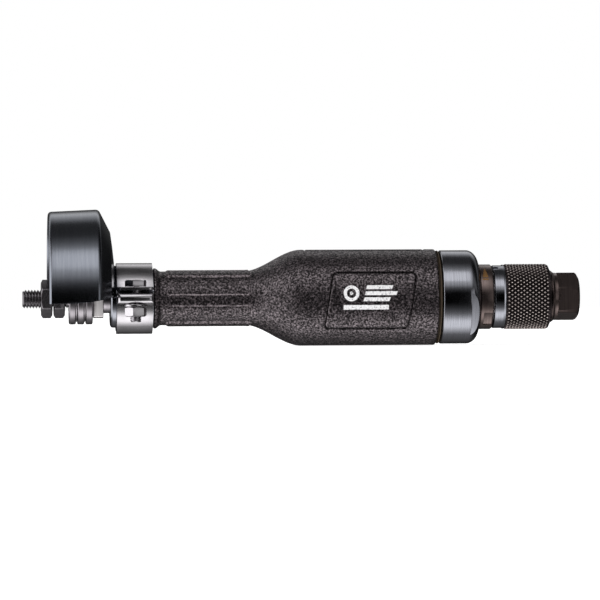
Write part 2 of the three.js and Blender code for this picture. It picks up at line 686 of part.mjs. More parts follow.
function makeRotor() {
  const front = couplingX + couplingLength / 2 + FIT;
  const rear = rearPlateEnd;
  const bodyX = linerX + FIT;
  const bodyEnd = linerEnd - FIT;
  const body = turned([
    [front, 0], [front, shaftRadius], [bodyX, shaftRadius], [bodyX, rotorRadius],
    [bodyEnd, rotorRadius], [bodyEnd, shaftRadius], [rear, shaftRadius], [rear, 0],
  ], MEDIUM);
  const slots = [];
  for (let i = 0; i < vaneCount; i += 1) {
    const turn = 2 * Math.PI * i / vaneCount;
    slots.push(block([bodyX - 1, -vaneSlotWidth / 2, vaneSlotFloor],
      [bodyEnd + 1, vaneSlotWidth / 2, rotorRadius + 2], turn));
    add(`vane_${i + 1}`, block([bodyX, -vaneThickness / 2, vaneSlotFloor + FIT],
      [bodyEnd, vaneThickness / 2, rotorRadius - 0.2], turn), VANE_COMPOSITE);
  }
  add('rotor', body.subtract(union(slots)), GREY_STEEL);
}

function makeMotor() {
  add('motor_housing', ring(housingFlangeX + FIT, gripRearX, motorBore, motorRadius, MEDIUM), BLUED_STEEL);
  const pocket = largeBearing.pocket;
  const shaftHole = shaftRadius + 2 * FIT;
  add('front_end_plate', turned([
    [frontPlateX, pocket], [frontPlateX, motorFit], [frontPlateEnd, motorFit], [frontPlateEnd, shaftHole],
    [frontPlateEnd - endPlateWeb, shaftHole], [frontPlateEnd - endPlateWeb, pocket],
  ], MEDIUM).subtract(dowelHole(frontPlateEnd - 5, frontPlateEnd + 1)), GREY_STEEL);
  add('rear_end_plate', turned([
    [rearPlateX, shaftHole], [rearPlateX, motorFit], [rearPlateEnd, motorFit], [rearPlateEnd, pocket],
    [rearPlateX + endPlateWeb, pocket], [rearPlateX + endPlateWeb, shaftHole],
  ], MEDIUM).subtract(dowelHole(rearPlateX - 1, rearPlateX + 5)), GREY_STEEL);
  const boreGeometry = new THREE.CylinderGeometry(linerBore, linerBore, linerLength + 2, MEDIUM);
  boreGeometry.rotateZ(-Math.PI / 2);
  boreGeometry.translate(linerX + linerLength / 2, 0, linerOffset);
  add('cylinder_liner', rod(linerX, linerEnd, motorFit, MEDIUM)
    .subtract(solid(boreGeometry))
    .subtract(dowelHole(linerX - 1, linerEnd + 1)), GREY_STEEL);
  const pin = new THREE.CylinderGeometry(dowelRadius, dowelRadius, linerLength + 8, 12);
  pin.rotateZ(-Math.PI / 2);
  pin.translate(linerX + linerLength / 2, 0, dowelHeight);
  add('dowel_pin', solid(pin), BEARING_STEEL);
  add('wave_washer', ring(waveWasherX, waveWasherX + waveWasherThickness, waveWasherBore, motorFit, MEDIUM),
    BEARING_STEEL);
}

// ---------------------------------------------------------------- end cap, gasket, muffler, collar
function makeEndCap() {
  const shoulderX = endCapEnd - endCapShoulder;
  const shoulder = [];
  const steps = 5;
  for (let step = 0; step <= steps; step += 1) {
    const angle = step / steps * Math.PI / 2;
    shoulder.push([
      shoulderX + endCapShoulder * Math.sin(angle),
      endCapRearRadius + (endCapRadius - endCapRearRadius) * Math.cos(angle),
    ]);
  }
  const cavity = motorFit - motorWall;
  const backWallX = endCapEnd - endCapBackWall;
  const cap = turned([
    [capSpigotX, cavity], [capSpigotX, motorFit], [endCapX, motorFit], [endCapX, endCapRadius],
    ...shoulder, [endCapEnd, collarBore], [backWallX, collarBore], [backWallX, cavity],
  ], FINE);
  const flats = [endCapFlatTurn, endCapFlatTurn + Math.PI].map((turn) => block(
    [shoulderX + 0.8, -endCapRadius - 2, -endCapRadius],
    [endCapEnd + 1, -endCapFlatDistance, endCapRadius], turn));
  add('end_cap', cap.subtract(flats[0]).subtract(flats[1]), BLUED_STEEL);
  add('gasket', ring(gasketX, gasketX + gasketThickness, motorBore, gasketRadius, MEDIUM), GASKET_PAPER);
  const mufflerX = backWallX - FIT - mufflerLength;
  add('exhaust_muffler', ring(mufflerX, mufflerX + mufflerLength, mufflerBore, cavity - FIT, MEDIUM), FELT);
  const notchX = rearCollarX + collarLength - notchLength - 0.6;
  const notches = [notchTurn, notchTurn + Math.PI].map((turn) => block(
    [notchX, -collarRadius - 1, -notchWidth / 2],
    [notchX + notchLength, -collarRadius + notchDepth, notchWidth / 2], turn));
  add('rear_collar', ring(rearCollarX, rearCollarX + collarLength, collarBore, collarRadius, MEDIUM)
    .subtract(notches[0]).subtract(notches[1]), BROWNED_STEEL);
}

// ---------------------------------------------------------------- valve and throttle
function ports(x0, x1) {
  return union([-1, 0, 1].map((step) => {
    const geometry = new THREE.CylinderGeometry(portRadius, portRadius, x1 - x0, 8);
    geometry.rotateZ(-Math.PI / 2);
    geometry.translate((x0 + x1) / 2, 0, -portPitch);
    geometry.rotateX(step * Math.PI / 5);
    return solid(geometry);
  }));
}

function oRingGroove(x) {
  const half = oRingRadius + FIT;
  return ring(x - half, x + half, valveRadius - 2 * oRingRadius - 2 * FIT - 0.1, valveRadius + 1, MEDIUM);
}

function makeValveBody(pinX, ringXs) {
  const front = endCapEnd - endCapBackWall - 2;
  const chamberEnd = drumX + drumLength + FIT;
  const slotSpread = Math.asin(pinRadius / valveChamber) + 0.06;
  const slotStart = Math.PI / 2 - slotSpread;
  const slotEnd = Math.PI / 2 + throttleTravel + slotSpread;
  const slot = new THREE.Shape();
  slot.absarc(0, 0, valveRadius + 1, slotStart, slotEnd);
  slot.absarc(0, 0, valveChamber - 1, slotEnd, slotStart, true);
  slot.closePath();
  const slotHalf = pinRadius + 2 * FIT;
  const body = turned([
    [front, valvePassage], [front, valveThreadRadius], [valveX, valveThreadRadius], [valveX, valveRadius],
    [throttleEnd, valveRadius], [throttleEnd, inletSpigotRadius + FIT],
    [chamberEnd, inletSpigotRadius + FIT], [chamberEnd, valveChamber],
    [valveWebX + valveWeb, valveChamber], [valveWebX + valveWeb, 0], [valveWebX, 0],
    [valveWebX, valvePassage],
  ], MEDIUM);
  return ringXs.reduce((whole, x) => whole.subtract(oRingGroove(x)), body)
    .subtract(pushedX(slot, pinX - slotHalf, pinX + slotHalf, 6))
    .subtract(ports(valveWebX - 1, valveWebX + valveWeb + 1));
}

function makeThrottle() {
  const pinX = drumX + drumPinOffset;
  const ringXs = [valveX + 1.9, throttleEnd - 5.0];
  add('valve_body', makeValveBody(pinX, ringXs), GREY_STEEL);
  ringXs.forEach((x, i) => {
    const geometry = new THREE.TorusGeometry(valveRadius - oRingRadius - 0.1, oRingRadius, 5, SMALL);
    geometry.rotateY(Math.PI / 2);
    geometry.translate(x, 0, 0);
    add(['o_ring_front', 'o_ring_rear'][i], solid(geometry), RUBBER);
  });
  const pinTop = throttleBandRadius - 1.0;
  const pinHole = radialRod(pinX, 0, pinTop + FIT, pinRadius + FIT);
  const sleeve = turned([
    [throttleX, throttleBore], [throttleX, throttleBandRadius - 0.3], [throttleX + 0.3, throttleBandRadius],
    [throttleX + throttleBandLength, throttleBandRadius], [knurlX, knurlRadius],
    [throttleEnd - throttleRearChamfer, knurlRadius], [throttleEnd, throttleRearRadius],
    [throttleEnd, throttleBore],
  ], FINE);
  add('throttle_sleeve', sleeve.subtract(pinHole), BLACK_OXIDE);
  const drum = turned([
    [drumX, 0], [drumX, valveChamber - FIT], [drumX + drumLength, valveChamber - FIT],
    [drumX + drumLength, valveChamber - FIT - drumWall], [drumX + drumWall, valveChamber - FIT - drumWall],
    [drumX + drumWall, 0],
  ]);
  add('valve_drum', drum.subtract(pinHole).subtract(ports(drumX - 1, drumX + drumWall + 1)), BRASS);
  add('drive_pin', radialRod(pinX, valveChamber - FIT - drumWall + 0.6, pinTop, pinRadius, 0, 12),
    BEARING_STEEL);
}

// ---------------------------------------------------------------- air inlet
function makeInlet() {
  const bar = hexBar(inletHexX - 1, inletFaceX, inletAcrossFlats, inletHexTurn,
    inletNeckRadius - 1, inletFaceRadius);
  const threadX = inletFaceX - inletThreadDepth;
  const barrel = turned([
    [inletSpigotX, 0], [inletSpigotX, inletSpigotRadius], [inletConeX, inletSpigotRadius],
    [inletConeX, inletConeRadius], [inletNeckX, inletNeckRadius], [inletHexX, inletNeckRadius],
    [inletHexX + 0.5, inletAcrossFlats / 2 - 0.2], [inletHexX + 0.5, 0],
  ], MEDIUM);
  const bore = turned([
    [inletSpigotX - 1, 0], [inletSpigotX - 1, inletPassage], [threadX, inletPassage],
    [threadX, inletThreadRadius], [inletFaceX - 0.8, inletThreadRadius],
    [inletFaceX + 0.2, inletThreadRadius + 1.0], [inletFaceX + 0.2, 0],
  ]);
  add('inlet_bushing', barrel.add(bar).subtract(bore), BROWNED_STEEL);
  const holes = union([0, 1, 2, 3, 4, 5].map((i) => {
    const geometry = new THREE.CylinderGeometry(1.0, 1.0, screenThickness + 2, 6);
    geometry.rotateZ(-Math.PI / 2);
    geometry.translate(screenX + screenThickness / 2, 0, 3.2);
    geometry.rotateX(i * Math.PI / 3);
    return solid(geometry);
  }));
  add('inlet_screen', rod(screenX, screenX + screenThickness, inletSpigotRadius).subtract(holes),
    BEARING_STEEL);
}

makeSpindleGroup();
makeBearings();
makeNose();
makeSpindleHousing();
makeGuard();
makeClamp();
makeGrip();
makeRotor();
makeMotor();
makeEndCap();
makeThrottle();
makeInlet();

export default grinder;
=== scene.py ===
"""Extended straight air grinder: visible pieces, finishes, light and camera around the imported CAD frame."""
import json
import math

import bpy
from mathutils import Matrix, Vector


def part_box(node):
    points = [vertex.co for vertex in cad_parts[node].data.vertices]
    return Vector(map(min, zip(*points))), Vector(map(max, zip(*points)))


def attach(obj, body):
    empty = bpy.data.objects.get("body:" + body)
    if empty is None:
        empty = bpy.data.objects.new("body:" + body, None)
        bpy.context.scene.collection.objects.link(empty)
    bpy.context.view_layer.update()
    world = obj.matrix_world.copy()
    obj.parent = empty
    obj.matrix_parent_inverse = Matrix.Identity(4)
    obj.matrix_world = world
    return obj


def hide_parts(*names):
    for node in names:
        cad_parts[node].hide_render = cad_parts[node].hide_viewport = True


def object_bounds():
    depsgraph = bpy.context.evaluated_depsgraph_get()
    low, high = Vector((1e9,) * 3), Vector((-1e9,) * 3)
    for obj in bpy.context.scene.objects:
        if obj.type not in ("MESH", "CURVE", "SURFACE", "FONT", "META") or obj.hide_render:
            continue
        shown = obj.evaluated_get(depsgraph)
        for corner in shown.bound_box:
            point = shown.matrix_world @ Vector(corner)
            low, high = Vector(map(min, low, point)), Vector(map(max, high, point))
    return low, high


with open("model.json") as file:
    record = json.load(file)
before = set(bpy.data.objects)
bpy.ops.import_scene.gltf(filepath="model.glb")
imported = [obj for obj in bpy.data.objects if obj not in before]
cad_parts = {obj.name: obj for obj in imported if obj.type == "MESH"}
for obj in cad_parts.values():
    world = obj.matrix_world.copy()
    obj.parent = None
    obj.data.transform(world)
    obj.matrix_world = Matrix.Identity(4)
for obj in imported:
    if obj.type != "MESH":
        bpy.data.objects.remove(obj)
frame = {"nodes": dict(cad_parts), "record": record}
cad_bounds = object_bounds()

MM = 0.001
TURN = 2 * math.pi
CLOSE = 0.002 * MM  # vertices nearer than this are one


# ------------------------------------------------------------------ places taken from the CAD nodes
def span(node):
    """Front end, rear end and outer radius of a turned CAD node, in millimetres."""
    low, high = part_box(node)
    return low.x / MM, high.x / MM, high.z / MM


# ------------------------------------------------------------------ modelling steps
def deselect():
    bpy.ops.object.select_all(action="DESELECT")


def pick(piece):
    deselect()
    bpy.context.view_layer.objects.active = piece
    piece.select_set(True)


def edit(piece):
    pick(piece)
    bpy.ops.object.mode_set(mode="EDIT")


def leave():
    bpy.ops.object.mode_set(mode="OBJECT")


def apply_place(piece):
    pick(piece)
    bpy.ops.object.transform_apply(location=True, rotation=True, scale=True)


def named(name):
    piece = bpy.context.object
    piece.name = name
    piece.data.name = name
    return piece


def first_point(name):
    """A piece that is one vertex at the origin, left in edit mode."""
    deselect()
    bpy.ops.mesh.primitive_plane_add(size=MM)
    piece = named(name)
    bpy.ops.object.mode_set(mode="EDIT")
    bpy.ops.mesh.select_mode(type="VERT")
    bpy.ops.mesh.merge(type="CENTER")
    return piece


def drawn(name, points, closed=True, across=(0, 0, 1)):
    """A chain of edges through [x, height] points in millimetres, left in edit mode."""
    up = Vector(across)
    piece = first_point(name)
    x, height = points[0]
    bpy.ops.transform.translate(value=Vector((x, 0, 0)) * MM + up * height * MM)
    path = points[1:] + points[:1] if closed else points[1:]
    for next_x, next_height in path:
        step = (Vector((next_x - x, 0, 0)) + up * (next_height - height)) * MM
        bpy.ops.mesh.extrude_region_move(TRANSFORM_OT_translate={"value": step})
        x, height = next_x, next_height
    return piece


def drawn_section(name, path, x):
    """A chain of edges through (y, z) points at one station x, left in edit mode."""
    piece = first_point(name)
    y, z = path[0]
    bpy.ops.transform.translate(value=(x * MM, y * MM, z * MM))
    for next_y, next_z in path[1:]:
        bpy.ops.mesh.extrude_region_move(
            TRANSFORM_OT_translate={"value": (0, (next_y - y) * MM, (next_z - z) * MM)})
        y, z = next_y, next_z
    return piece


def close_up():
    """Merges what meets and turns every face outwards, in edit mode."""
    bpy.ops.mesh.select_all(action="SELECT")
    bpy.ops.mesh.remove_doubles(threshold=CLOSE)
    bpy.ops.mesh.normals_make_consistent(inside=False)


def close_piece(piece):
    edit(piece)
    close_up()
    leave()


def face_outwards(piece):
    edit(piece)
    bpy.ops.mesh.select_all(action="SELECT")
    bpy.ops.mesh.normals_make_consistent(inside=False)
    leave()


def turned(name, points, sides=96, closed=True):
    """A profile of [x, radius] points spun about the tool axis."""
    piece = drawn(name, points, closed)
    bpy.ops.mesh.select_all(action="SELECT")
    bpy.ops.mesh.spin(steps=sides, angle=TURN, center=(0, 0, 0), axis=(1, 0, 0))
    close_up()
    leave()
    return piece


def change(piece, kind, **settings):
    """Adds a modifier and applies it."""
    pick(piece)
    bpy.ops.object.modifier_add(type=kind)
    modifier = piece.modifiers[-1]
    for key, value in settings.items():
        setattr(modifier, key, value)
    bpy.ops.object.modifier_apply(modifier=modifier.name)


def cut(piece, tool, operation="DIFFERENCE"):
    change(piece, "BOOLEAN", object=tool, operation=operation, solver="EXACT")
    bpy.data.objects.remove(tool)


def soften(piece, width, segments=2, angle=30):
    change(piece, "BEVEL", width=width * MM, segments=segments, limit_method="ANGLE",
           angle_limit=math.radians(angle), miter_outer="MITER_ARC")


def smooth(piece, angle=32):
    pick(piece)
    bpy.ops.object.shade_smooth_by_angle(angle=math.radians(angle))


def choose(piece, wanted, kind="vertices"):
    """Selects the vertices, edges or faces that wanted(item) accepts, and leaves the piece in edit mode."""
    edit(piece)
    bpy.ops.mesh.select_all(action="DESELECT")
    bpy.ops.mesh.select_mode(type={"vertices": "VERT", "edges": "EDGE", "polygons": "FACE"}[kind])
    leave()
    for item in getattr(piece.data, kind):
        item.select = wanted(item)
    bpy.ops.object.mode_set(mode="EDIT")


def block(name, low, high):
    deselect()
    size = [(b - a) * MM for a, b in zip(low, high)]
    centre = [(a + b) / 2 * MM for a, b in zip(low, high)]
    bpy.ops.mesh.primitive_cube_add(size=1, location=centre, scale=size)
    piece = named(name)
    apply_place(piece)
    return piece


def hexagon(name, x0, x1, across_flats, turn=0.0):
    """A hexagonal bar along the tool axis, corners up and down before it is turned."""
    deselect()
    bpy.ops.mesh.primitive_cylinder_add(
        vertices=6, radius=across_flats / math.sqrt(3) * MM, depth=(x1 - x0) * MM,
        location=((x0 + x1) / 2 * MM, 0, 0), rotation=(0, math.pi / 2, 0))
    piece = named(name)
    apply_place(piece)
    spin_about_axis(piece, turn + math.pi / 2)
    return piece


def upright(name, x, y, z0, z1, radius, sides=48, turn=0.0):
    deselect()
    bpy.ops.mesh.primitive_cylinder_add(
        vertices=sides, radius=radius * MM, depth=(z1 - z0) * MM,
        location=(x * MM, y * MM, (z0 + z1) / 2 * MM), rotation=(0, 0, turn))
    piece = named(name)
    apply_place(piece)
    return piece


def spin_about_axis(piece, angle):
    """Turns a piece about the tool axis by the right-hand rule."""
    piece.rotation_euler = (angle, 0, 0)
    apply_place(piece)


def steps(start, end, count):
    """Evenly spaced values from start to end, both included."""
    return [start + (end - start) * i / count for i in range(count + 1)]


def arc(x, height, radius, start, end, count):
    """Points of an arc in millimetres, angles in degrees from +X towards the height."""
    return [(x + radius * math.cos(math.radians(a)), height + radius * math.sin(math.radians(a)))
            for a in steps(start, end, count)]


def keep(piece, body, slot, material, *nodes):
    """Gives a finished piece its finish, its body and the CAD nodes that it stands for."""
    piece.data.materials.clear()
    piece.data.materials.append(material)
    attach(piece, body)
    if nodes:
        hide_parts(*nodes)
    return piece


# ------------------------------------------------------------------ materials
def linear(code):
    """An sRGB hex colour as linear RGBA."""
    parts = [int(code[i:i + 2], 16) / 255 for i in (1, 3, 5)]
    return tuple(v / 12.92 if v <= 0.04045 else ((v + 0.055) / 1.055) ** 2.4 for v in parts) + (1.0,)


def add(tree, kind, feeds=None, out=0, stops=(), **settings):
    """Adds a node with its settings, feeds and colour stops, and returns one of its outputs."""
    node = tree.nodes.new(kind)
    for key, value in settings.items():
        setattr(node, key, value)
    feed(tree, node, feeds or {})
    while stops and len(node.color_ramp.elements) < len(stops):
        node.color_ramp.elements.new(0.5)
    for i, (place, colour) in enumerate(stops):
        node.color_ramp.elements[i].position = place
        node.color_ramp.elements[i].color = linear(colour) if isinstance(colour, str) else (colour, colour, colour, 1)
    return node.outputs[out]


def feed(tree, node, feeds):
    """Gives each named input its value, its sRGB colour or the output that drives it."""
    for key, value in feeds.items():
        if isinstance(value, bpy.types.NodeSocket):
            tree.links.new(value, node.inputs[key])
        else:
            node.inputs[key].default_value = linear(value) if isinstance(value, str) else value


def start_material(name):
    material = bpy.data.materials.new(name)
    material.use_nodes = True
    tree = material.node_tree
    return material, tree, tree.nodes["Principled BSDF"], add(tree, "ShaderNodeTexCoord", out="Object")


def grain_of(tree, place, size, detail=2.0, roughness=0.5, stretch=(1, 1, 1)):
    """A random pattern whose grains measure size millimetres, drawn out along the axes by stretch."""
    scaled = add(tree, "ShaderNodeMapping", {"Vector": place, "Scale": tuple(1 / (size * MM * s) for s in stretch)})
    return add(tree, "ShaderNodeTexNoise", {
        "Vector": scaled, "Scale": 1.0, "Detail": detail, "Roughness": roughness})


def off_axis(tree, place):
    """Distance from the tool axis, in metres."""
    flat = add(tree, "ShaderNodeVectorMath", {0: place, 1: (0, 1, 1)}, operation="MULTIPLY")
    return add(tree, "ShaderNodeVectorMath", {0: flat}, "Value", operation="LENGTH")


def turned_steel(name, dark, light, metallic, low, high, line=0.25, relief=0.004):
    """Steel off the lathe: fine lines run round it, so highlights smear across the lines.

    Real lines are finer than a tenth of a millimetre. They are drawn line millimetres wide, so that they show.
    """
    material, tree, shader, place = start_material(name)
    lines = grain_of(tree, place, line, 3, 0.6, (1, 60, 60))
    broad = grain_of(tree, place, 9)
    share = add(tree, "ShaderNodeValToRGB", {"Fac": lines}, stops=[(0.3, 0.0), (0.7, 1.0)])
    feed(tree, shader, {
        "Base Color": add(tree, "ShaderNodeMix", {0: share, 6: dark, 7: light}, 2, data_type="RGBA"),
        "Metallic": metallic,
        "Roughness": add(tree, "ShaderNodeMapRange", {
            "Value": broad, "From Min": 0.25, "From Max": 0.75, "To Min": low, "To Max": high}),
        "Normal": add(tree, "ShaderNodeBump", {"Height": lines, "Distance": relief * MM, "Strength": 1.0}),
    })
    return material


def moulded_grip():
    """Glass-filled nylon from a spark-eroded mould: near black, with a coarse grain that sparkles.

    The grain is drawn 0.95 mm wide, coarser than most moulds leave it, so that it shows.
    """
    material, tree, shader, place = start_material("spark_eroded_nylon")
    grain = grain_of(tree, place, 0.95, 3, 0.65)
    pits = grain_of(tree, place, 0.5, 2, 0.6)
    height = add(tree, "ShaderNodeMath", {0: pits, 1: 0.6, 2: grain}, operation="MULTIPLY_ADD")
    body = add(tree, "ShaderNodeValToRGB", {"Fac": grain}, stops=[
        (0.42, "#010101"), (0.52, "#080607"), (0.6, "#221d1f"), (0.68, "#6a6164")])
    # Painted highlight: a light grey band (#7c7376) round the edge of each rib, broken up by the grain, stands in for
    # the light that the rounded rib edges catch.
    rib_edge_highlight = add(tree, "ShaderNodeAttribute", out="Fac", attribute_name="rib_edge_highlight")
    high_grain = add(tree, "ShaderNodeValToRGB", {"Fac": grain}, stops=[(0.4, 0.25), (0.55, 1.0)])
    painted_edge_highlight = add(tree, "ShaderNodeMath", {0: rib_edge_highlight, 1: high_grain}, operation="MULTIPLY")
    # Painted shade: the grooves round the badge panel and round the upper panel are painted near black (#010101) and
    # their gloss is turned off, standing in for the shade that falls into them.
    groove_shade = add(tree, "ShaderNodeAttribute", out="Fac", attribute_name="groove_shade")
    groove_shade = add(tree, "ShaderNodeMath", {0: groove_shade, 1: 1.1}, operation="MULTIPLY", use_clamp=True)
    surface = add(tree, "ShaderNodeMix", {0: painted_edge_highlight, 6: body, 7: "#7c7376"}, 2, data_type="RGBA")
    gloss = add(tree, "ShaderNodeValToRGB", {"Fac": grain}, stops=[(0.4, 0.1), (0.5, 0.42), (0.58, 1.0)])
    feed(tree, shader, {
        "Base Color": add(tree, "ShaderNodeMix", {0: groove_shade, 6: surface, 7: "#010101"}, 2, data_type="RGBA"),
        "Roughness": add(tree, "ShaderNodeValToRGB", {"Fac": grain}, stops=[(0.42, 0.5), (0.6, 0.32)]),
        "Specular IOR Level": add(tree, "ShaderNodeMix", {0: groove_shade, 6: gloss, 7: "#000000"}, 2, data_type="RGBA"),
        "IOR": 1.75,
        "Specular Tint": "#fff0f6",
        "Normal": add(tree, "ShaderNodeBump", {"Height": height, "Distance": 0.17 * MM, "Strength": 1.0}),
    })
    return material


def printed_white():
    """Pad-printed white ink that follows the grain below it and misses its deepest pits."""
    material, tree, shader, place = start_material("pad_printed_ink")
    grain = grain_of(tree, place, 0.95, 3, 0.62)
    feed(tree, shader, {
        "Base Color": add(tree, "ShaderNodeValToRGB", {"Fac": grain}, stops=[
            (0.3, "#77757a"), (0.44, "#e6e4e6"), (0.7, "#ffffff")]),
        "Roughness": 0.55,
        "Normal": add(tree, "ShaderNodeBump", {"Height": grain, "Distance": 0.12 * MM, "Strength": 0.5}),
    })
    return material


def pressed_guard():
    """Deep-drawn sheet under thin black oxide: dark and glossy, its highlights softened by a very fine grain.

    Its draw lines and grain are too fine to show at their real size, and are drawn 0.9 and 0.35 mm wide.
    """
    material, tree, shader, place = start_material("black_oxide_sheet")
    lines = grain_of(tree, place, 0.9, 3, 0.6, (1, 20, 20))
    grain = grain_of(tree, place, 0.35, 3, 0.6)
    share = add(tree, "ShaderNodeValToRGB", {"Fac": lines}, stops=[(0.2, 0.0), (0.8, 1.0)])
    feed(tree, shader, {
        "Base Color": add(tree, "ShaderNodeMix", {0: share, 6: "#6a6d75", 7: "#787b82"}, 2, data_type="RGBA"),
        "Metallic": 1.0,
        "Roughness": add(tree, "ShaderNodeValToRGB", {"Fac": grain}, stops=[(0.3, 0.17), (0.7, 0.23)]),
        "Normal": add(tree, "ShaderNodeBump", {"Height": grain, "Distance": 0.01 * MM, "Strength": 0.6}),
    })
    return material


def zinc_plate():
    """Bright zinc over rolled strip: clear reflections, a little softened and slightly uneven."""
    material, tree, shader, place = start_material("bright_zinc_plate")
    strip = grain_of(tree, place, 0.8, 3, 0.6, (8, 1, 1))
    broad = grain_of(tree, place, 6)
    feed(tree, shader, {
        "Base Color": add(tree, "ShaderNodeMix", {0: broad, 6: "#a5a2a6", 7: "#bbb8bb"}, 2, data_type="RGBA"),
        "Metallic": 1.0,
        "Roughness": add(tree, "ShaderNodeValToRGB", {"Fac": strip}, stops=[(0.3, 0.17), (0.7, 0.27)]),
        "Normal": add(tree, "ShaderNodeBump", {"Height": broad, "Distance": 0.03 * MM, "Strength": 0.5}),
    })
    return material


def black_oxide(name="black_oxide_fastener", edge=9.6 * MM, corner=10.05 * MM):
    """Hot-dip black oxide on a rolled bar: nearly black and grainy, rubbed grey at its corners."""
    material, tree, shader, place = start_material(name)
    grain = grain_of(tree, place, 0.3, 3, 0.65)
    worn = add(tree, "ShaderNodeMapRange", {"Value": off_axis(tree, place), "From Min": edge, "From Max": corner},
               interpolation_type="SMOOTHSTEP")
    patchy = add(tree, "ShaderNodeMath", {0: worn, 1: grain}, operation="MULTIPLY")
    feed(tree, shader, {
        "Base Color": add(tree, "ShaderNodeMix", {0: patchy, 6: "#5e5b5e", 7: "#979397"}, 2, data_type="RGBA"),
        "Metallic": 0.8,
        "Roughness": add(tree, "ShaderNodeValToRGB", {"Fac": grain}, stops=[(0.3, 0.17), (0.7, 0.27)]),
        "Normal": add(tree, "ShaderNodeBump", {"Height": grain, "Distance": 0.008 * MM, "Strength": 0.6}),
    })
    return material


def knurled_oxide(crest, root):
    """Diamond knurl in oxidised steel: the flats of the diamonds are rubbed bright, the grooves stay black."""
    material, tree, shader, place = start_material("rubbed_black_knurl")
    grain = grain_of(tree, place, 0.5, 3, 0.6)
    worn = add(tree, "ShaderNodeMapRange", {
        "Value": off_axis(tree, place), "From Min": (crest * 0.35 + root * 0.65) * MM,
        "From Max": (crest * 0.8 + root * 0.2) * MM}, interpolation_type="SMOOTHSTEP")
    feed(tree, shader, {
        "Base Color": add(tree, "ShaderNodeValToRGB", {"Fac": worn}, stops=[
            (0.0, "#2b2526"), (0.5, "#6a6160"), (1.0, "#d6cbc5")]),
        "Metallic": 0.9,
        "Roughness": add(tree, "ShaderNodeValToRGB", {"Fac": grain}, stops=[(0.3, 0.3), (0.7, 0.42)]),
        "Normal": add(tree, "ShaderNodeBump", {"Height": grain, "Distance": 0.01 * MM, "Strength": 0.5}),
    })
    return material


def dull_soft(name, dark, light, size, roughness):
    """Rubber, felt, fibre and laminate: no gloss, a fine mottled grain."""
    material, tree, shader, place = start_material(name)
    grain = grain_of(tree, place, size, 3, 0.6)
    feed(tree, shader, {
        "Base Color": add(tree, "ShaderNodeMix", {0: grain, 6: dark, 7: light}, 2, data_type="RGBA"),
        "Roughness": roughness,
        "Normal": add(tree, "ShaderNodeBump", {"Height": grain, "Distance": size * 0.2 * MM, "Strength": 0.5}),
    })
    return material


GRIP = moulded_grip()
INK = printed_white()
GUARD = pressed_guard()
ZINC = zinc_plate()
NUT_OXIDE = black_oxide()
SPINDLE_OXIDE = black_oxide("black_oxide_thread", 4.3 * MM, 4.9 * MM)
BLUED = turned_steel("polished_black_steel", "#76777d", "#8a8b92", 1.0, 0.14, 0.21, 0.3, 0.002)
BARE = turned_steel("ground_steel", "#7a767a", "#a19ca0", 1.0, 0.24, 0.36, 0.2, 0.004)
MILLED = turned_steel("milled_bright_steel", "#c6c2c2", "#dedada", 1.0, 0.28, 0.4, 0.4, 0.003)
POLISHED = turned_steel("bearing_steel", "#a9abaf", "#c4c6ca", 1.0, 0.14, 0.22, 0.3, 0.002)
BROWNED = turned_steel("browned_steel", "#544947", "#6c605d", 0.95, 0.24, 0.34, 0.25, 0.003)
ETCH = turned_steel("laser_etched_mark", "#6e4c2c", "#96703f", 0.5, 0.45, 0.6, 0.2, 0.002)
BRASS = turned_steel("machined_brass", "#a68242", "#c9a25a", 1.0, 0.25, 0.35, 0.25, 0.003)
RUBBER = dull_soft("nitrile_rubber", "#101011", "#1c1c1d", 0.4, 0.75)
FELT = dull_soft("pressed_felt", "#7f7b70", "#a5a094", 0.7, 0.95)
FIBRE = dull_soft("gasket_fibre", "#2c2116", "#52422b", 0.3, 0.7)
LAMINATE = dull_soft("phenolic_laminate", "#4e331e", "#6d4a2c", 0.5, 0.55)

SLOT_FINISH = {
    "black_oxide_steel": NUT_OXIDE, "blued_steel": BLUED, "knurled_steel": BLUED, "grey_steel": BARE,
    "zinc_plated_steel": ZINC, "bearing_steel": POLISHED, "browned_steel": BROWNED, "grip_composite": GRIP,
    "rubber": RUBBER, "gasket_fibre": FIBRE, "vane_composite": LAMINATE, "felt": FELT, "brass": BRASS,
}


def finish_cad_nodes():
    """The hidden inner pieces stay as they are in CAD and get their finishes."""
    slots = {part["node"]: part["material_slot"] for part in frame["record"]["subparts"]}
    for node, piece in frame["nodes"].items():
        piece.data.materials.clear()
        piece.data.materials.append(SLOT_FINISH[slots[node]])


# ------------------------------------------------------------------ threads
def screw_thread(name, start, end, crest, root, pitch, chamfer):
    """A true helical thread, cut off square at both ends and chamfered at its tip."""
    flat = pitch / 8
    turns = math.ceil((end - start) / pitch) + 3
    first = start - 1.487 * pitch  # not a whole part of a turn, so that no vertex lies on the cut at start
    profile = [(first, root), (first + flat, root), (first + pitch / 2, crest), (first + pitch / 2 + flat, crest),
               (first + pitch, root)]
    piece = drawn(name, profile, closed=False)
    leave()
    change(piece, "SCREW", axis="X", screw_offset=pitch * MM, iterations=turns, steps=40, render_steps=40,
           use_merge_vertices=True, merge_threshold=CLOSE)
    close_piece(piece)
    for place, side in ((start, -1), (end, 1)):
        edit(piece)
        bpy.ops.mesh.select_all(action="SELECT")
        bpy.ops.mesh.bisect(plane_co=(place * MM, 0, 0), plane_no=(side, 0, 0), use_fill=True, clear_outer=True,
                            threshold=CLOSE / 100)
        leave()
    close_piece(piece)
    tip = turned(name + "_tip", [(start - 1, 0), (start - 1, root - chamfer), (start, root - chamfer * 0.3),
                                 (start + crest - root + chamfer * 0.3, crest + 0.02), (end + 1, crest + 0.02),
                                 (end + 1, 0)], 80)
    cut(piece, tip, "INTERSECT")
    smooth(piece, 28)
    return piece


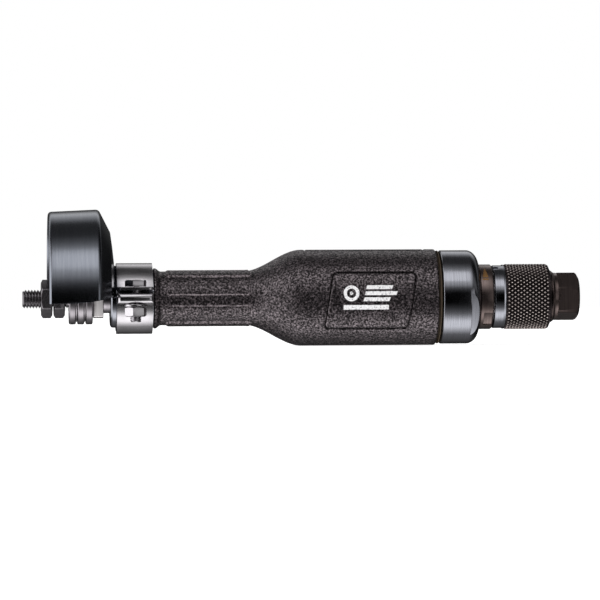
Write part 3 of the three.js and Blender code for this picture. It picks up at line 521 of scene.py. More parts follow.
# ------------------------------------------------------------------ spindle, nuts and flanges
def make_spindle():
    nut_front = span("jam_nut")[0]
    thread_end = span("outer_flange")[0] + 2
    thread = screw_thread("spindle_thread", 0, thread_end, 4.76, 3.85, 1.5875, 0.5)
    keep(thread, "spindle", "black_oxide_steel", SPINDLE_OXIDE, "spindle")

    flange_rear = span("inner_flange")[1]
    flats_front = flange_rear + 0.3
    flats_rear = flats_front + 5.3
    rear = span("shaft_coupling")[0] + 7.7
    bearing_front = span("nose_bearing_inner_race")[0]
    shaft = turned("spindle_shaft", [
        (nut_front + 10, 0), (nut_front + 10, 3.8), (thread_end - 1, 4.4), (flats_rear, 4.4), (flats_rear, 7.5),
        (bearing_front - 0.3, 7.5), (bearing_front - 0.3, 5), (rear, 5), (rear, 0)], 64)
    soften(shaft, 0.3)
    close_piece(shaft)
    smooth(shaft)
    keep(shaft, "spindle", "grey_steel", BARE)

    flats = block("spindle_spanner_flats", (flats_front, -6.5, -9.4), (flats_rear, 6.5, 9.4))
    bar = turned("bar", [(flats_front - 1, 0), (flats_front - 1, 10.1), (flats_rear + 1, 10.1),
                         (flats_rear + 1, 0)], 96)
    cut(flats, bar, "INTERSECT")
    spin_about_axis(flats, math.radians(20))
    soften(flats, 0.35, 3)
    smooth(flats)
    keep(flats, "spindle", "grey_steel", MILLED)


def make_hex_nut(name, body):
    """A hexagon nut with both faces chamfered at 30 degrees and its thread countersunk."""
    x0, x1, corner = span(name)
    across = corner * math.sqrt(3)
    face = across / 2 - 0.2
    slope = math.tan(math.radians(30))
    nut = hexagon(name + "_hexagon", x0, x1, across)
    depth = (corner - face) * slope
    envelope = turned("chamfer", [(x0, 0), (x0, face), (x0 + depth * 1.15, corner + 0.1),
                                  (x1 - depth * 1.15, corner + 0.1), (x1, face), (x1, 0)], 96)
    cut(nut, envelope, "INTERSECT")
    bore = turned("bore", [(x0 - 1, 0), (x0 - 1, 6.2), (x0 + 0.9, 4.3), (x1 - 0.9, 4.3), (x1 + 1, 6.2),
                           (x1 + 1, 0)], 64)
    cut(nut, bore)
    soften(nut, 0.22, 2, 25)
    smooth(nut, 28)
    keep(nut, body, "black_oxide_steel", NUT_OXIDE, name)


def make_flange(name, body, boss):
    """A turned washer with a rounded rim and a shallow relief; a boss on its rear face nearly meets the next one."""
    x0, x1, radius = span(name)
    rim = 0.75
    profile = [(x0, 4.9), (x0, radius - 4.2), (x0 + 0.15, radius - 4.0), (x0 + 0.15, radius - 2.6),
               (x0, radius - 2.4)]
    profile += arc(x0 + rim, radius - rim, rim, 180, 90, 5)
    profile += arc(x1 - rim, radius - rim, rim, 90, 0, 5)
    profile += [(x1, radius - 1.3), (x1 + boss, radius - 1.35), (x1 + boss, 4.9)]
    flange = turned(name + "_turned", profile, 128)
    smooth(flange)
    keep(flange, body, "grey_steel", BARE, name)


# ------------------------------------------------------------------ nose cap
def make_nose_cap():
    x0, x1, radius = span("nose_cap")
    rear = span("spindle_housing")[0] - 0.3
    round_off = 1.6
    profile = [(x0 + 1.0, 7.9), (x0 + 0.6, 8.6), (x0 + 0.6, 10.2), (x0, 10.6)]
    profile += arc(x0 + round_off, radius - round_off, round_off, 180, 90, 6)
    profile += [(rear, radius), (rear, 12.7), (x1, 12.7), (x1, 10.3), (x1 - 3, 10.3), (x1 - 3, 7.9)]
    cap = turned("nose_cap_turned", profile, 128)
    smooth(cap)
    keep(cap, "housing", "black_oxide_steel", BLUED, "nose_cap")


# ------------------------------------------------------------------ wheel guard
def make_guard():
    """Deep-drawn half drum: turned-in lip, rounded shoulder, cone, dished plate and rolled hub."""
    low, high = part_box("wheel_guard")
    front, back, outer = low.x / MM, high.x / MM, high.z / MM
    band_front = span("clamp_band")[0]
    plate = span("nose_cap")[0] + 0.3
    sheet = 1.7
    wall_front = outer - 1.0
    corner = front + 25.3
    outside = arc(front + 1.9, wall_front - 1.9, 1.9, 195, 92, 7)
    outside += arc(corner - 0.6, outer - 2.6, 2.6, 88, 30, 7)
    outside += arc(plate - 3.2, outer - 12.6, 3.2, 30, 8, 4)
    outside += [(plate + 0.9, 27.5), (plate + 1.7, 20.4)]
    outside += arc(band_front + 0.2, 19.4, 2.4, 158, 245, 6)
    collar_radius, collar_bore = 16.7, 15.4
    outside += [(band_front + 0.2, collar_radius), (back, collar_radius), (back, collar_bore),
                (plate + 0.2, collar_bore)]
    inside = [(plate, 18.4), (plate - 0.8, 27.0)]
    inside += arc(plate - 3.2, outer - 12.6, 1.6, 8, 30, 3)
    inside += arc(corner - 0.6, outer - 2.6, 0.9, 30, 88, 4)
    inside += [(front + sheet + 0.4, wall_front - sheet), (front + sheet, wall_front - sheet - 0.3)]
    guard = turned("wheel_guard_pressing", outside + inside, 160)

    drop, rise = -2.6, 0.5
    middle = (front + corner) / 2 - 4
    edge = [(front - 2, drop), (middle, drop)]
    for i in range(1, 13):
        t = i / 12
        x = (1 - t) ** 2 * middle + 2 * t * (1 - t) * (middle + 12) + t * t * plate
        z = (1 - t) ** 2 * drop + 2 * t * (1 - t) * drop + t * t * rise
        edge.append((x, z))
    open_end = band_front - 0.3
    edge += [(open_end, rise), (open_end, -outer - 2), (front - 2, -outer - 2)]
    below = drawn("below", edge)
    bpy.ops.mesh.select_all(action="SELECT")
    bpy.ops.mesh.remove_doubles(threshold=CLOSE)
    bpy.ops.mesh.select_all(action="SELECT")
    bpy.ops.mesh.edge_face_add()
    bpy.ops.transform.translate(value=(0, -(outer + 3) * MM, 0))
    bpy.ops.mesh.extrude_region_move(TRANSFORM_OT_translate={"value": (0, 2 * (outer + 3) * MM, 0)})
    bpy.ops.mesh.select_all(action="SELECT")
    bpy.ops.mesh.normals_make_consistent(inside=False)
    leave()
    cut(guard, below)
    slit = block("slit", (open_end - 0.1, -20, 2.1), (back + 1, 0, 5.1))
    cut(guard, slit)
    soften(guard, 0.35, 2, 40)
    smooth(guard, 35)
    keep(guard, "guard", "blued_steel", GUARD, "wheel_guard")
    guard.data.materials.append(BARE)
    for face in guard.data.polygons:
        if face.normal.z < -0.35 and face.center.z < (rise + 0.6) * MM and face.center.x < band_front * MM:
            face.material_index = 1


# ------------------------------------------------------------------ clamp band, bolt, washer and nut
def clamp_levels():
    """Heights of the ears and of the hardware on them, in millimetres, and the bolt's place."""
    bolt_low, bolt_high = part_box("clamp_bolt")
    washer_low, washer_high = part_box("clamp_washer")
    nut_low, nut_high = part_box("clamp_nut")
    return {
        "x": (washer_low.x + washer_high.x) / 2 / MM, "y": (washer_low.y + washer_high.y) / 2 / MM,
        "head_top": bolt_high.z / MM, "tail": bolt_low.z / MM,
        "washer_low": washer_low.z / MM, "washer_high": washer_high.z / MM,
        "nut_low": nut_low.z / MM, "nut_high": nut_high.z / MM,
    }


def make_clamp_band():
    """One strip of plated steel: a plain ear, once round the collar, and an ear rolled back under itself."""
    low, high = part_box("clamp_band")
    front, rear, outer, reach = low.x / MM, high.x / MM, high.z / MM, low.y / MM
    strip = 1.4
    middle = outer - strip / 2
    level = clamp_levels()
    slit = 3.6
    upper = slit + 0.75 + strip / 2
    lower = slit - 0.75 - strip / 2
    fold_low = level["washer_high"] + 0.3 + strip / 2
    bend = 1.3
    roll = (lower - fold_low) / 2

    def leave_band(height, side):
        """Where a bend of this radius touches both the band's circle and the ear's level."""
        centre_z = height + side * bend
        centre_y = -math.sqrt((middle + bend) ** 2 - centre_z ** 2)
        touch = math.atan2(centre_z, centre_y)
        return centre_y, centre_z, touch

    top_y, top_z, top_touch = leave_band(upper, 1)
    low_y, low_z, low_touch = leave_band(lower, -1)
    path = [(reach, upper)]
    path += [(top_y + bend * math.cos(a), top_z + bend * math.sin(a))
             for a in steps(-math.pi / 2, top_touch - math.pi, 6)]
    path += [(middle * math.cos(a), middle * math.sin(a)) for a in steps(top_touch, low_touch - TURN, 72)]
    path += [(low_y + bend * math.cos(a), low_z + bend * math.sin(a))
             for a in steps(low_touch - TURN + math.pi, math.pi / 2, 6)]
    path += [(reach + strip / 2 + roll + roll * math.cos(a), (lower + fold_low) / 2 + roll * math.sin(a))
             for a in steps(math.pi / 2, 1.5 * math.pi, 10)]
    path += [(-math.sqrt(outer ** 2 - fold_low ** 2) - 0.8, fold_low)]
    band = drawn_section("clamp_band_strip", path, front)
    bpy.ops.mesh.select_all(action="SELECT")
    bpy.ops.mesh.extrude_region_move(TRANSFORM_OT_translate={"value": ((rear - front) * MM, 0, 0)})
    close_up()
    leave()
    change(band, "SOLIDIFY", thickness=strip * MM, offset=0, use_even_offset=True)
    plan = block("plan", (front, reach - 0.01, -25), (rear, 25, 25))
    choose(plan, lambda e: all(plan.data.vertices[v].co.y < -20 * MM for v in e.vertices)
           and abs(plan.data.vertices[e.vertices[0]].co.z - plan.data.vertices[e.vertices[1]].co.z) > 1 * MM, "edges")
    bpy.ops.mesh.bevel(offset=2.6 * MM, segments=6)
    leave()
    cut(band, plan, "INTERSECT")
    cut(band, upright("bolt_hole", level["x"], level["y"], -8, 10, 3.3))
    soften(band, 0.22, 2, 40)
    smooth(band, 35)
    keep(band, "guard", "zinc_plated_steel", ZINC, "clamp_band")


def hex_head(name, level, z0, z1, chamfer_low, chamfer_high):
    """A 10 mm hexagon about the clamp bolt's axis, chamfered on the faces that ask for it."""
    radius = 10 / math.sqrt(3)
    head = upright(name, level["x"], level["y"], z0, z1, radius, 6, math.radians(180 - 16))
    for z, side, wanted in ((z0, 1, chamfer_low), (z1, -1, chamfer_high)):
        if wanted:
            deselect()
            reach = 12.0
            bpy.ops.mesh.primitive_cone_add(
                vertices=64, radius1=(4.6 + reach / math.tan(math.radians(30))) * MM, radius2=4.6 * MM,
                depth=reach * MM, location=(level["x"] * MM, level["y"] * MM, (z + side * reach / 2) * MM),
                rotation=(0 if side < 0 else math.pi, 0, 0))
            cone = named("cone")
            apply_place(cone)
            cut(head, cone, "INTERSECT")
    return head


def make_clamp_hardware():
    level = clamp_levels()
    head_low = level["head_top"] - 3.5
    head = hex_head("clamp_bolt_head", level, head_low, level["head_top"], False, True)
    soften(head, 0.18, 2, 20)
    smooth(head, 28)
    keep(head, "guard", "zinc_plated_steel", ZINC, "clamp_bolt")

    thread = screw_thread("clamp_bolt_thread", 0, head_low - level["tail"] - 0.2, 2.95, 2.45, 1.0, 0.4)
    thread.rotation_euler = (0, -math.pi / 2, 0)
    thread.location = (level["x"] * MM, level["y"] * MM, level["tail"] * MM)
    apply_place(thread)
    keep(thread, "guard", "zinc_plated_steel", ZINC)

    washer = upright("clamp_washer_disc", level["x"], level["y"], level["washer_low"], level["washer_high"], 5.9, 64)
    cut(washer, upright("hole", level["x"], level["y"], -12, 0, 3.2))
    soften(washer, 0.15)
    smooth(washer)
    keep(washer, "clamp_washer", "zinc_plated_steel", ZINC, "clamp_washer")

    nut = hex_head("clamp_nut_hexagon", level, level["nut_low"], level["nut_high"], True, True)
    cut(nut, upright("hole", level["x"], level["y"], -12, 0, 3.0))
    soften(nut, 0.18, 2, 20)
    smooth(nut, 28)
    keep(nut, "clamp_nut", "zinc_plated_steel", ZINC, "clamp_nut")


# ------------------------------------------------------------------ grip sleeve
def rounded_box(x, y, half_length, half_width, corner):
    """Distance outside a rounded rectangle about the origin, negative inside."""
    dx = abs(x) - half_length + corner
    dy = abs(y) - half_width + corner
    return math.hypot(max(dx, 0), max(dy, 0)) + min(max(dx, dy), 0) - corner


def eased(value):
    value = min(max(value, 0.0), 1.0)
    return value * value * (3 - 2 * value)


def grip_profile(front, rear):
    """Outside of the grip from its lip to its rear end, then the plain inside back again."""
    flare_start, flare_end = front + 47.2, front + 77.0
    neck, barrel, wall = 14.0, 25.0, 1.5
    outside = [(front, 15.2), (front + 0.15, 15.5), (front + 0.5, 15.7), (front + 1.0, 15.65)]
    outside += [(front + 1.0 + 2.8 * t, 15.65 - 1.65 * eased(t)) for t in steps(0.12, 1, 6)]
    outside += [(x, neck) for x in steps(front + 4.3, flare_start, 86)]
    outside += [(flare_start + (flare_end - flare_start) * t, neck + (barrel - neck) * eased(t))
                for t in steps(0.017, 1, 56)]
    outside += [(x, barrel) for x in steps(flare_end + 0.5, rear - 0.9, 136)]
    outside += [(rear - 0.5, barrel - 0.1), (rear - 0.15, barrel - 0.4), (rear, barrel - 0.8)]
    inside = [(rear, barrel - wall), (flare_end, barrel - wall), (flare_start, neck - wall), (front, neck - wall)]
    return outside + inside, flare_end


def raise_grip_details(piece, front, flare_end):
    """Vertex weights for the eight ribs and the badge panel; the panel has a groove round it."""
    ribs = piece.vertex_groups.new(name="ribs")
    panel = piece.vertex_groups.new(name="panel")
    groove = piece.vertex_groups.new(name="groove")
    rib_middle, rib_half = front + 28.4, 21.9
    edge = 0.45
    rib_edge_highlight, groove_shade = [0.0] * len(piece.data.vertices), [0.0] * len(piece.data.vertices)
    panel_x = flare_end + 34.7
    for vertex in piece.data.vertices:
        x, y, z = (value / MM for value in vertex.co)
        radius = math.hypot(y, z)
        if radius < 13.9 or x > front + 54 and radius < 24.5:
            continue
        angle = math.degrees(math.atan2(z, -y))
        if front + 5 < x < front + 53:
            offset = (angle - 18 + 22.5) % 45 - 22.5
            gap = rounded_box(x - rib_middle, math.radians(offset) * radius, rib_half, 2.8, 1.5)
            weight = 1 - eased((gap + edge) / edge)
            if weight > 0:
                ribs.add([vertex.index], weight, "REPLACE")
            # Painted highlight mask: a band along each rib's edge, which the grip's finish paints light grey.
            rib_edge_highlight[vertex.index] = 1 - eased(abs(gap + 0.15) / 0.5)
        if abs(angle) < 100 and x > flare_end:
            lean = (z + 1.65) / 29.1 * 4.4
            gap = rounded_box(x - panel_x - lean, z + 1.65, 21.7, 14.55, 2.2) if y < 0 else 9
            inside = 1 - eased((gap + 0.9) / 0.9)
            if inside > 0:
                panel.add([vertex.index], inside, "REPLACE")
            around = 1 - eased(abs(gap - 0.1) / 0.75)
            if around > 0:
                groove.add([vertex.index], around, "REPLACE")
            # Painted shade mask: the groove round the badge panel, which the grip's finish paints near black.
            groove_shade[vertex.index] = 1 - eased(abs(gap - 0.1) / 0.6)
        top = angle if angle > 0 else angle + 360
        across = math.radians(top - 120) * radius
        gap = rounded_box(x - flare_end - 33, across, 31, 19, 2.2)
        around = 1 - eased(abs(gap) / 0.75)
        if x > flare_end and around > 0 and 60 < top < 200:
            groove.add([vertex.index], around, "REPLACE")
            # The second groove joins the painted shade mask.
            groove_shade[vertex.index] = max(groove_shade[vertex.index], around)
    # The rib-edge mask carries a painted highlight for the grip's finish.
    piece.data.attributes.new("rib_edge_highlight", "FLOAT", "POINT").data.foreach_set("value", rib_edge_highlight)
    # The groove mask carries painted shade for the grip's finish.
    piece.data.attributes.new("groove_shade", "FLOAT", "POINT").data.foreach_set("value", groove_shade)


def make_grip():
    front, rear, _ = span("grip_sleeve")
    profile, flare_end = grip_profile(front, rear)
    sleeve = turned("grip_sleeve_moulded", profile, 240)
    raise_grip_details(sleeve, front, flare_end)
    change(sleeve, "DISPLACE", vertex_group="ribs", direction="NORMAL", strength=0.8 * MM, mid_level=0)
    change(sleeve, "DISPLACE", vertex_group="panel", direction="NORMAL", strength=0.3 * MM, mid_level=0)
    change(sleeve, "DISPLACE", vertex_group="groove", direction="NORMAL", strength=-0.5 * MM, mid_level=0)
    smooth(sleeve, 50)
    keep(sleeve, "housing", "grip_composite", GRIP, "grip_sleeve")
    make_badge(flare_end)


def lay_on_barrel(piece, radius, lift):
    """Wraps a flat piece, drawn in X and Z, round the near side of the barrel."""
    for vertex in piece.data.vertices:
        angle = vertex.co.z / (radius * MM)
        r = (radius + lift) * MM - vertex.co.y
        vertex.co = (vertex.co.x, -r * math.cos(angle), r * math.sin(angle))


def slice_level(piece, low, high, spacing):
    """Cuts a flat piece into level strips, so that it can be curved."""
    edit(piece)
    for i in range(int((high - low) / spacing)):
        bpy.ops.mesh.select_all(action="SELECT")
        bpy.ops.mesh.bisect(plane_co=(0, 0, (low + i * spacing) * MM), plane_no=(0, 0, 1))
    leave()


def flat_shape(name, corners, thickness=0.12):
    """A flat polygon in X and Z, given a little thickness."""
    piece = drawn(name, corners)
    bpy.ops.mesh.select_all(action="SELECT")
    bpy.ops.mesh.remove_doubles(threshold=CLOSE)
    bpy.ops.mesh.select_all(action="SELECT")
    bpy.ops.mesh.edge_face_add()
    bpy.ops.mesh.extrude_region_move(TRANSFORM_OT_translate={"value": (0, thickness * MM, 0)})
    bpy.ops.mesh.select_all(action="SELECT")
    bpy.ops.mesh.normals_make_consistent(inside=False)
    leave()
    return piece


def make_badge(flare_end):
    """A plain printed device: a wheel, three slanted bars beside it, and a bar below."""
    x, z = flare_end + 20.3, 2.0
    radius, lift = 25.0, 0.34
    ring = drawn("badge_wheel", [(2.4, 0), (4.1, 0), (4.1, 0.12), (2.4, 0.12)], across=(0, 1, 0))
    bpy.ops.mesh.select_all(action="SELECT")
    bpy.ops.mesh.spin(steps=48, angle=TURN, center=(0, 0, 0), axis=(0, 1, 0))
    close_up()
    bpy.ops.transform.translate(value=((x + 4.1) * MM, 0, (z + 0.1) * MM))
    leave()
    shapes = [ring]
    shapes.append(flat_shape("badge_hub", [(x + 4.1 + 0.9 * math.cos(a), z + 0.1 + 0.9 * math.sin(a))
                                           for a in steps(0, TURN * 23 / 24, 23)]))
    for i, length in enumerate((13.5, 16.5, 13.5)):
        low = z + 2.2 - i * 3.1
        lean = 0.7
        start = x + 10.2 + (1.4 if i == 0 else 0.7 if i == 1 else 0)
        shapes.append(flat_shape(f"badge_bar_{i + 1}", [
            (start, low), (start + length, low), (start + length + lean, low + 2.0), (start + lean, low + 2.0)]))
    shapes.append(flat_shape("badge_underline", [
        (x, z - 8.3), (x + 23.4, z - 8.3), (x + 23.4, z - 5.9), (x, z - 5.9)]))
    for shape in shapes:
        lay_on_barrel(shape, radius, lift)
        face_outwards(shape)
        keep(shape, "housing", "grip_composite", INK)


# ------------------------------------------------------------------ gasket, end cap and rear collar
def make_gasket():
    x0, x1, radius = span("gasket")
    gasket = turned("gasket_ring", [
        (x0, 20.8), (x0, radius - 2.2), (x0 + 0.6, radius - 2.1), (x0 + 0.65, radius - 0.45), (x0 + 1.1, radius - 0.4),
        (x0 + 1.15, radius - 2.1), (x1, radius - 2.2), (x1, 20.8)], 160)
    smooth(gasket)
    keep(gasket, "housing", "gasket_fibre", FIBRE, "gasket")


def make_end_cap():
    low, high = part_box("end_cap")
    front, rear, radius = low.x / MM, high.x / MM, high.z / MM
    face = span("gasket")[1] + 0.3
    shoulder = rear - 6.1
    rear_radius = radius - 7.2
    profile = [(front, 17.9), (front, 20.4), (face, 20.4), (face, radius - 0.5), (face + 0.5, radius)]
    profile += [(shoulder + 6.1 * math.sin(a), rear_radius + 7.2 * math.cos(a)) for a in steps(0, math.pi / 2, 20)]
    profile += [(rear, 11.3), (rear - 9, 11.3), (rear - 9, 17.9)]
    cap = turned("end_cap_turned", profile, 160)
    for side in (0, math.pi):
        tool = block("flat", (shoulder + 0.8, -radius - 3, -radius), (rear + 1, -(radius - 3.2), radius))
        spin_about_axis(tool, math.radians(25) + side)
        cut(cap, tool)
    soften(cap, 0.15, 2, 24)
    smooth(cap, 24)
    keep(cap, "housing", "blued_steel", BLUED, "end_cap")


def make_rear_collar():
    x0, x1, radius = span("rear_collar")
    collar = turned("rear_collar_turned", [
        (x0, 11.3), (x0, radius - 0.3), (x0 + 0.3, radius), (x1 - 0.5, radius), (x1, radius - 0.5), (x1, 11.3)], 160)
    for side in (0, math.pi):
        tool = block("notch", (x1 - 5.0, -radius - 2, -4.5), (x1 - 0.6, -radius + 1.2, 4.5))
        spin_about_axis(tool, math.radians(45) + side)
        cut(collar, tool)
    soften(collar, 0.15, 2, 30)
    smooth(collar, 30)
    keep(collar, "housing", "browned_steel", BROWNED, "rear_collar")
    mark = flat_shape("throttle_mark", [(x0 + 1.2, -3.4), (x0 + 4.2, -3.4), (x0 + 2.9, 3.6), (x0 + 2.5, 3.6)], 0.1)
    dot = flat_shape("throttle_mark_foot", [
        (x0 + 1.2, -5.0), (x0 + 4.2, -5.0), (x0 + 4.2, -4.1), (x0 + 1.2, -4.1)], 0.1)
    for piece in (mark, dot):
        slice_level(piece, -5, 4, 0.75)
        lay_on_barrel(piece, radius, 0.04)
        spin_about_axis(piece, -math.radians(48))
        face_outwards(piece)
        keep(piece, "housing", "brass", ETCH)


# ------------------------------------------------------------------ throttle sleeve
def make_throttle():
    x0, x1, crest = span("throttle_sleeve")
    band = crest - 0.8
    bore = 13.2
    knurl_start, knurl_end = x0 + 5.9, x1 - 1.2
    body = turned("throttle_sleeve_turned", [
        (x0, bore), (x0, band - 0.35), (x0 + 0.35, band), (x0 + 4.9, band), (x0 + 5.5, band + 0.45),
        (knurl_start, band + 0.3), (knurl_start, band - 0.6), (knurl_end, band - 0.6), (knurl_end, band - 0.4),
        (x1, 13.8), (x1, bore)], 128)
    index = block("index", (x0 - 1, -1.3, band - 0.9), (x0 + 2.6, 1.3, band + 1))
    spin_about_axis(index, math.radians(24))
    cut(body, index)
    soften(body, 0.12, 2, 30)
    smooth(body, 30)
    keep(body, "throttle", "knurled_steel", BLUED, "throttle_sleeve")
    make_knurl(knurl_start, knurl_end, crest, crest - 0.8)


def make_knurl(x0, x1, crest, root):
    """Crossed helical grooves: diamonds 3.05 mm long and 2.2 mm wide with small flat tops."""
    around, rows = 98, 15
    step = (x1 - x0) / rows
    deselect()
    bpy.ops.mesh.primitive_circle_add(
        vertices=around, radius=crest * MM, location=(x0 * MM, 0, 0), rotation=(0, math.pi / 2, 0))
    knurl = named("throttle_knurl")
    apply_place(knurl)
    edit(knurl)
    for _ in range(rows):
        bpy.ops.mesh.extrude_region_move(TRANSFORM_OT_translate={"value": (step * MM, 0, 0)})
    leave()

    def place(vertex):
        row = round((vertex.co.x / MM - x0) / step)
        column = round(math.atan2(vertex.co.z, vertex.co.y) / TURN * around)
        return row, column

    def sunk(vertex):
        row, column = place(vertex)
        return row in (0, rows) or (row + column) % 2 == 1

    choose(knurl, lambda v: (sum(place(v)) % 2) == 1)
    bpy.ops.mesh.vert_connect()
    leave()
    choose(knurl, sunk)
    bpy.ops.transform.resize(value=(1, root / crest, root / crest), center_override=(0, 0, 0))
    leave()
    choose(knurl, lambda v: not sunk(v))
    bpy.ops.mesh.bevel(offset=0.3 * MM, affect="VERTICES")
    leave()
    inner = (root - 1.2) / root
    for row in (0, rows):
        choose(knurl, lambda v, row=row: abs(v.co.x / MM - x0 - row * step) < 0.05)
        bpy.ops.mesh.extrude_region_move(TRANSFORM_OT_translate={"value": (0, 0, 0)})
        bpy.ops.transform.resize(value=(1, inner, inner), center_override=(0, 0, 0))
        leave()
    edit(knurl)
    bpy.ops.mesh.select_mode(type="EDGE")
    bpy.ops.mesh.select_all(action="DESELECT")
    bpy.ops.mesh.select_non_manifold()
    bpy.ops.mesh.bridge_edge_loops()
    close_up()
    leave()
    smooth(knurl, 20)
    keep(knurl, "throttle", "knurled_steel", knurled_oxide(crest, root))


# ------------------------------------------------------------------ air inlet
def make_inlet():
    low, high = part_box("inlet_bushing")
    front, rear = low.x / MM, high.x / MM
    cone = span("throttle_sleeve")[1] + 0.3
    hex_front = cone + 3.1
    across = 22.0
    corner = across / math.sqrt(3)
    bar = hexagon("inlet_hexagon", hex_front - 1.5, rear, across, math.radians(12))
    envelope = turned("envelope", [
        (hex_front - 1.5, 0), (hex_front - 1.5, 11.2), (hex_front + 0.4, corner + 0.1), (rear - 2.1, corner + 0.1),
        (rear - 1.1, 11.9), (rear, 9.9), (rear, 0)], 128)
    cut(bar, envelope, "INTERSECT")
    neck = turned("neck", [
        (front, 0), (front, 9.5), (cone, 9.5), (cone, 13.4), (cone + 0.3, 13.5), (cone + 1.5, 12.5), (cone + 2.0, 12.4),
        (hex_front, 12.3), (hex_front, 0)], 128)
    cut(bar, neck, "UNION")
    bore = turned("bore", [
        (front - 1, 0), (front - 1, 4.5), (rear - 13.3, 4.5), (rear - 13.3, 6.35), (rear - 0.8, 6.35),
        (rear + 0.2, 7.2), (rear + 0.2, 0)], 96)
    cut(bar, bore)
    soften(bar, 0.18, 2, 28)
    edit(bar)
    bpy.ops.mesh.select_all(action="SELECT")
    bpy.ops.mesh.dissolve_degenerate(threshold=5 * CLOSE)
    bpy.ops.mesh.remove_doubles(threshold=5 * CLOSE)
    leave()
    smooth(bar, 28)
    keep(bar, "housing", "browned_steel", BROWNED, "inlet_bushing")
    make_inlet_thread(rear)


def make_inlet_thread(rear):
    """The female pipe thread, as a helical ridge inside the mouth."""
    pitch, root, crest = 1.337, 6.33, 5.75
    first = rear - 13.0
    thread = drawn("inlet_thread", [
        (first, root + 0.02), (first + pitch * 0.42, crest), (first + pitch * 0.55, crest),
        (first + pitch, root + 0.02)], closed=False)
    leave()
    change(thread, "SCREW", axis="X", screw_offset=pitch * MM, iterations=8, steps=48, render_steps=48,
           use_merge_vertices=True, merge_threshold=CLOSE)
    change(thread, "SOLIDIFY", thickness=0.25 * MM, offset=1)
    smooth(thread, 40)
    keep(thread, "housing", "browned_steel", BROWNED)


# ------------------------------------------------------------------ floor, light and camera
def make_floor():
    deselect()
    bpy.ops.mesh.primitive_plane_add(size=16, location=(0.145, 0, cad_bounds[0].z - 0.0002))
    floor = named("studio_floor")
    apply_place(floor)
    # white acrylic lit from below: pale all over, so only a faint shadow shows under the tool
    material, tree, shader, place = start_material("lit_white_acrylic")
    tint = grain_of(tree, place, 400)
    white = add(tree, "ShaderNodeMix", {0: tint, 6: "#fafafa", 7: "#fefefe"}, 2, data_type="RGBA")
    feed(tree, shader, {"Base Color": white, "Emission Color": white, "Roughness": 0.9, "Emission Strength": 0.75})
    floor.data.materials.append(material)
    floor.visible_glossy = False


def make_world():
    """The light that the metal mirrors: boxes high, low and beside the camera, black behind; it shows white."""
    world = bpy.data.worlds.new("studio")
    bpy.context.scene.world = world
    world.use_nodes = True
    tree = world.node_tree
    direction = add(tree, "ShaderNodeTexCoord", out="Generated")
    side, depth, up = [add(tree, "ShaderNodeSeparateXYZ", {"Vector": direction}, axis) for axis in "XYZ"]
    near = add(tree, "ShaderNodeMath", {0: depth, 1: -1.0}, operation="MULTIPLY")
    steep = add(tree, "ShaderNodeMath", {0: up}, operation="ABSOLUTE")
    by_height = add(tree, "ShaderNodeValToRGB", {"Fac": angle_of(tree, up, near)}, stops=LIGHT_BY_HEIGHT)
    fade = add(tree, "ShaderNodeMapRange", {"Value": side, "From Min": 0.6, "From Max": 0.3, "To Min": 0.2})
    by_height = add(tree, "ShaderNodeMath", {0: by_height, 1: fade}, operation="MULTIPLY")
    right = add(tree, "ShaderNodeValToRGB", {"Fac": angle_of(tree, side, near)}, stops=LIGHT_BESIDE)
    left = add(tree, "ShaderNodeMapRange", {"Value": side, "From Min": -0.7, "From Max": -0.8},
               interpolation_type="SMOOTHSTEP")
    boxes = []
    for box, steepest, gone in ((right, 0.15, 0.4), (left, 0.5, 0.8)):
        level = add(tree, "ShaderNodeMapRange", {"Value": steep, "From Min": gone, "From Max": steepest},
                    interpolation_type="SMOOTHSTEP")
        boxes.append(add(tree, "ShaderNodeMath", {0: box, 1: level}, operation="MULTIPLY"))
    beside = add(tree, "ShaderNodeMath", {0: boxes[0], 1: boxes[1]}, operation="MAXIMUM")
    most = add(tree, "ShaderNodeMath", {0: by_height, 1: beside}, operation="MAXIMUM")
    light = add(tree, "ShaderNodeMath", {0: most, 1: 2.4}, operation="MULTIPLY")
    seen = add(tree, "ShaderNodeLightPath", out="Is Camera Ray")
    feed(tree, tree.nodes["Background"], {
        "Color": add(tree, "ShaderNodeMix", {0: seen, 6: light, 7: "#ffffff"}, 2, data_type="RGBA"),
        "Strength": 1.0,
    })


def angle_of(tree, side, near):
    """The angle from the camera's side of the room towards a side, as a place from 0 to 1."""
    angle = add(tree, "ShaderNodeMath", {0: side, 1: near}, operation="ARCTAN2")
    return add(tree, "ShaderNodeMapRange", {"Value": angle, "From Min": -math.pi, "From Max": math.pi})


def at(angle):
    """An angle from the camera's side of the room, in degrees, as a place on a ramp."""
    return (angle + 180) / 360


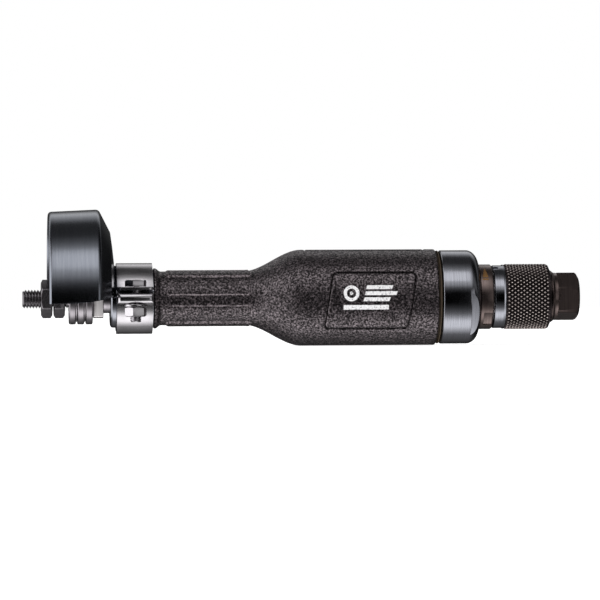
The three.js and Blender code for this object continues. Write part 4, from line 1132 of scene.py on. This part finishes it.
LIGHT_BY_HEIGHT = [
    (at(-180), 0.01), (at(-150), 0.02), (at(-125), 0.09), (at(-104), 0.16), (at(-92), 0.5), (at(-78), 1.0),
    (at(-62), 1.0), (at(-52), 0.5), (at(-42), 0.16), (at(-28), 0.04), (at(-16), 0.0), (at(12), 0.0), (at(22), 0.07),
    (at(30), 0.36), (at(42), 0.56), (at(58), 0.56), (at(68), 0.3), (at(78), 0.12), (at(90), 0.03), (at(120), 0.03),
    (at(132), 0.28), (at(145), 0.5), (at(156), 0.05), (at(180), 0.01),
]
LIGHT_BESIDE = [
    (at(13), 0.0), (at(18), 0.3), (at(52), 0.3), (at(60), 0.0),
]


def make_lights():
    """Two weak softboxes, over the near side and over the back, that lift the shadows."""
    for name, place, power, size in (
            ("high_softbox", (0.1, -1.15, 1.5), 2, 0.9), ("back_softbox", (0.3, 1.3, 1.6), 0.4, 0.9)):
        bpy.ops.object.light_add(type="AREA", location=place)
        light = bpy.context.object
        light.name = name
        light.data.energy = power
        light.data.size = size
        target = Vector((0.145, 0, 0))
        light.rotation_euler = (target - Vector(place)).to_track_quat("-Z", "Y").to_euler()


def make_camera():
    azimuth, roll = math.radians(-4.43), math.radians(0.3)
    distance = 2.1
    target = Vector((0.14446, 0, -0.0012))
    back = Vector((math.sin(azimuth), -math.cos(azimuth), 0))
    bpy.ops.object.camera_add(location=target + back * distance)
    camera = bpy.context.object
    camera.rotation_mode = "QUATERNION"
    camera.rotation_quaternion = (-back).to_track_quat("-Z", "Y")
    camera.rotation_mode = "XYZ"
    camera.rotation_euler.rotate_axis("Z", -roll)
    camera.data.lens = 241.6
    camera.data.clip_start = 0.1
    camera.data.clip_end = 50
    bpy.context.scene.camera = camera
    bpy.context.scene.view_settings.view_transform = "Standard"


# ------------------------------------------------------------------ the tool
make_camera()
make_world()
make_lights()
make_floor()
finish_cad_nodes()
make_spindle()
make_hex_nut("jam_nut", "spindle")
make_hex_nut("wheel_nut", "spindle")
make_flange("outer_flange", "outer_flange", 0.5)
make_flange("flange_spacer", "spindle", 0.5)
make_flange("inner_flange", "spindle", 0.0)
make_nose_cap()
make_guard()
make_clamp_band()
make_clamp_hardware()
make_grip()
make_gasket()
make_end_cap()
make_rear_collar()
make_throttle()
make_inlet()
deselect()
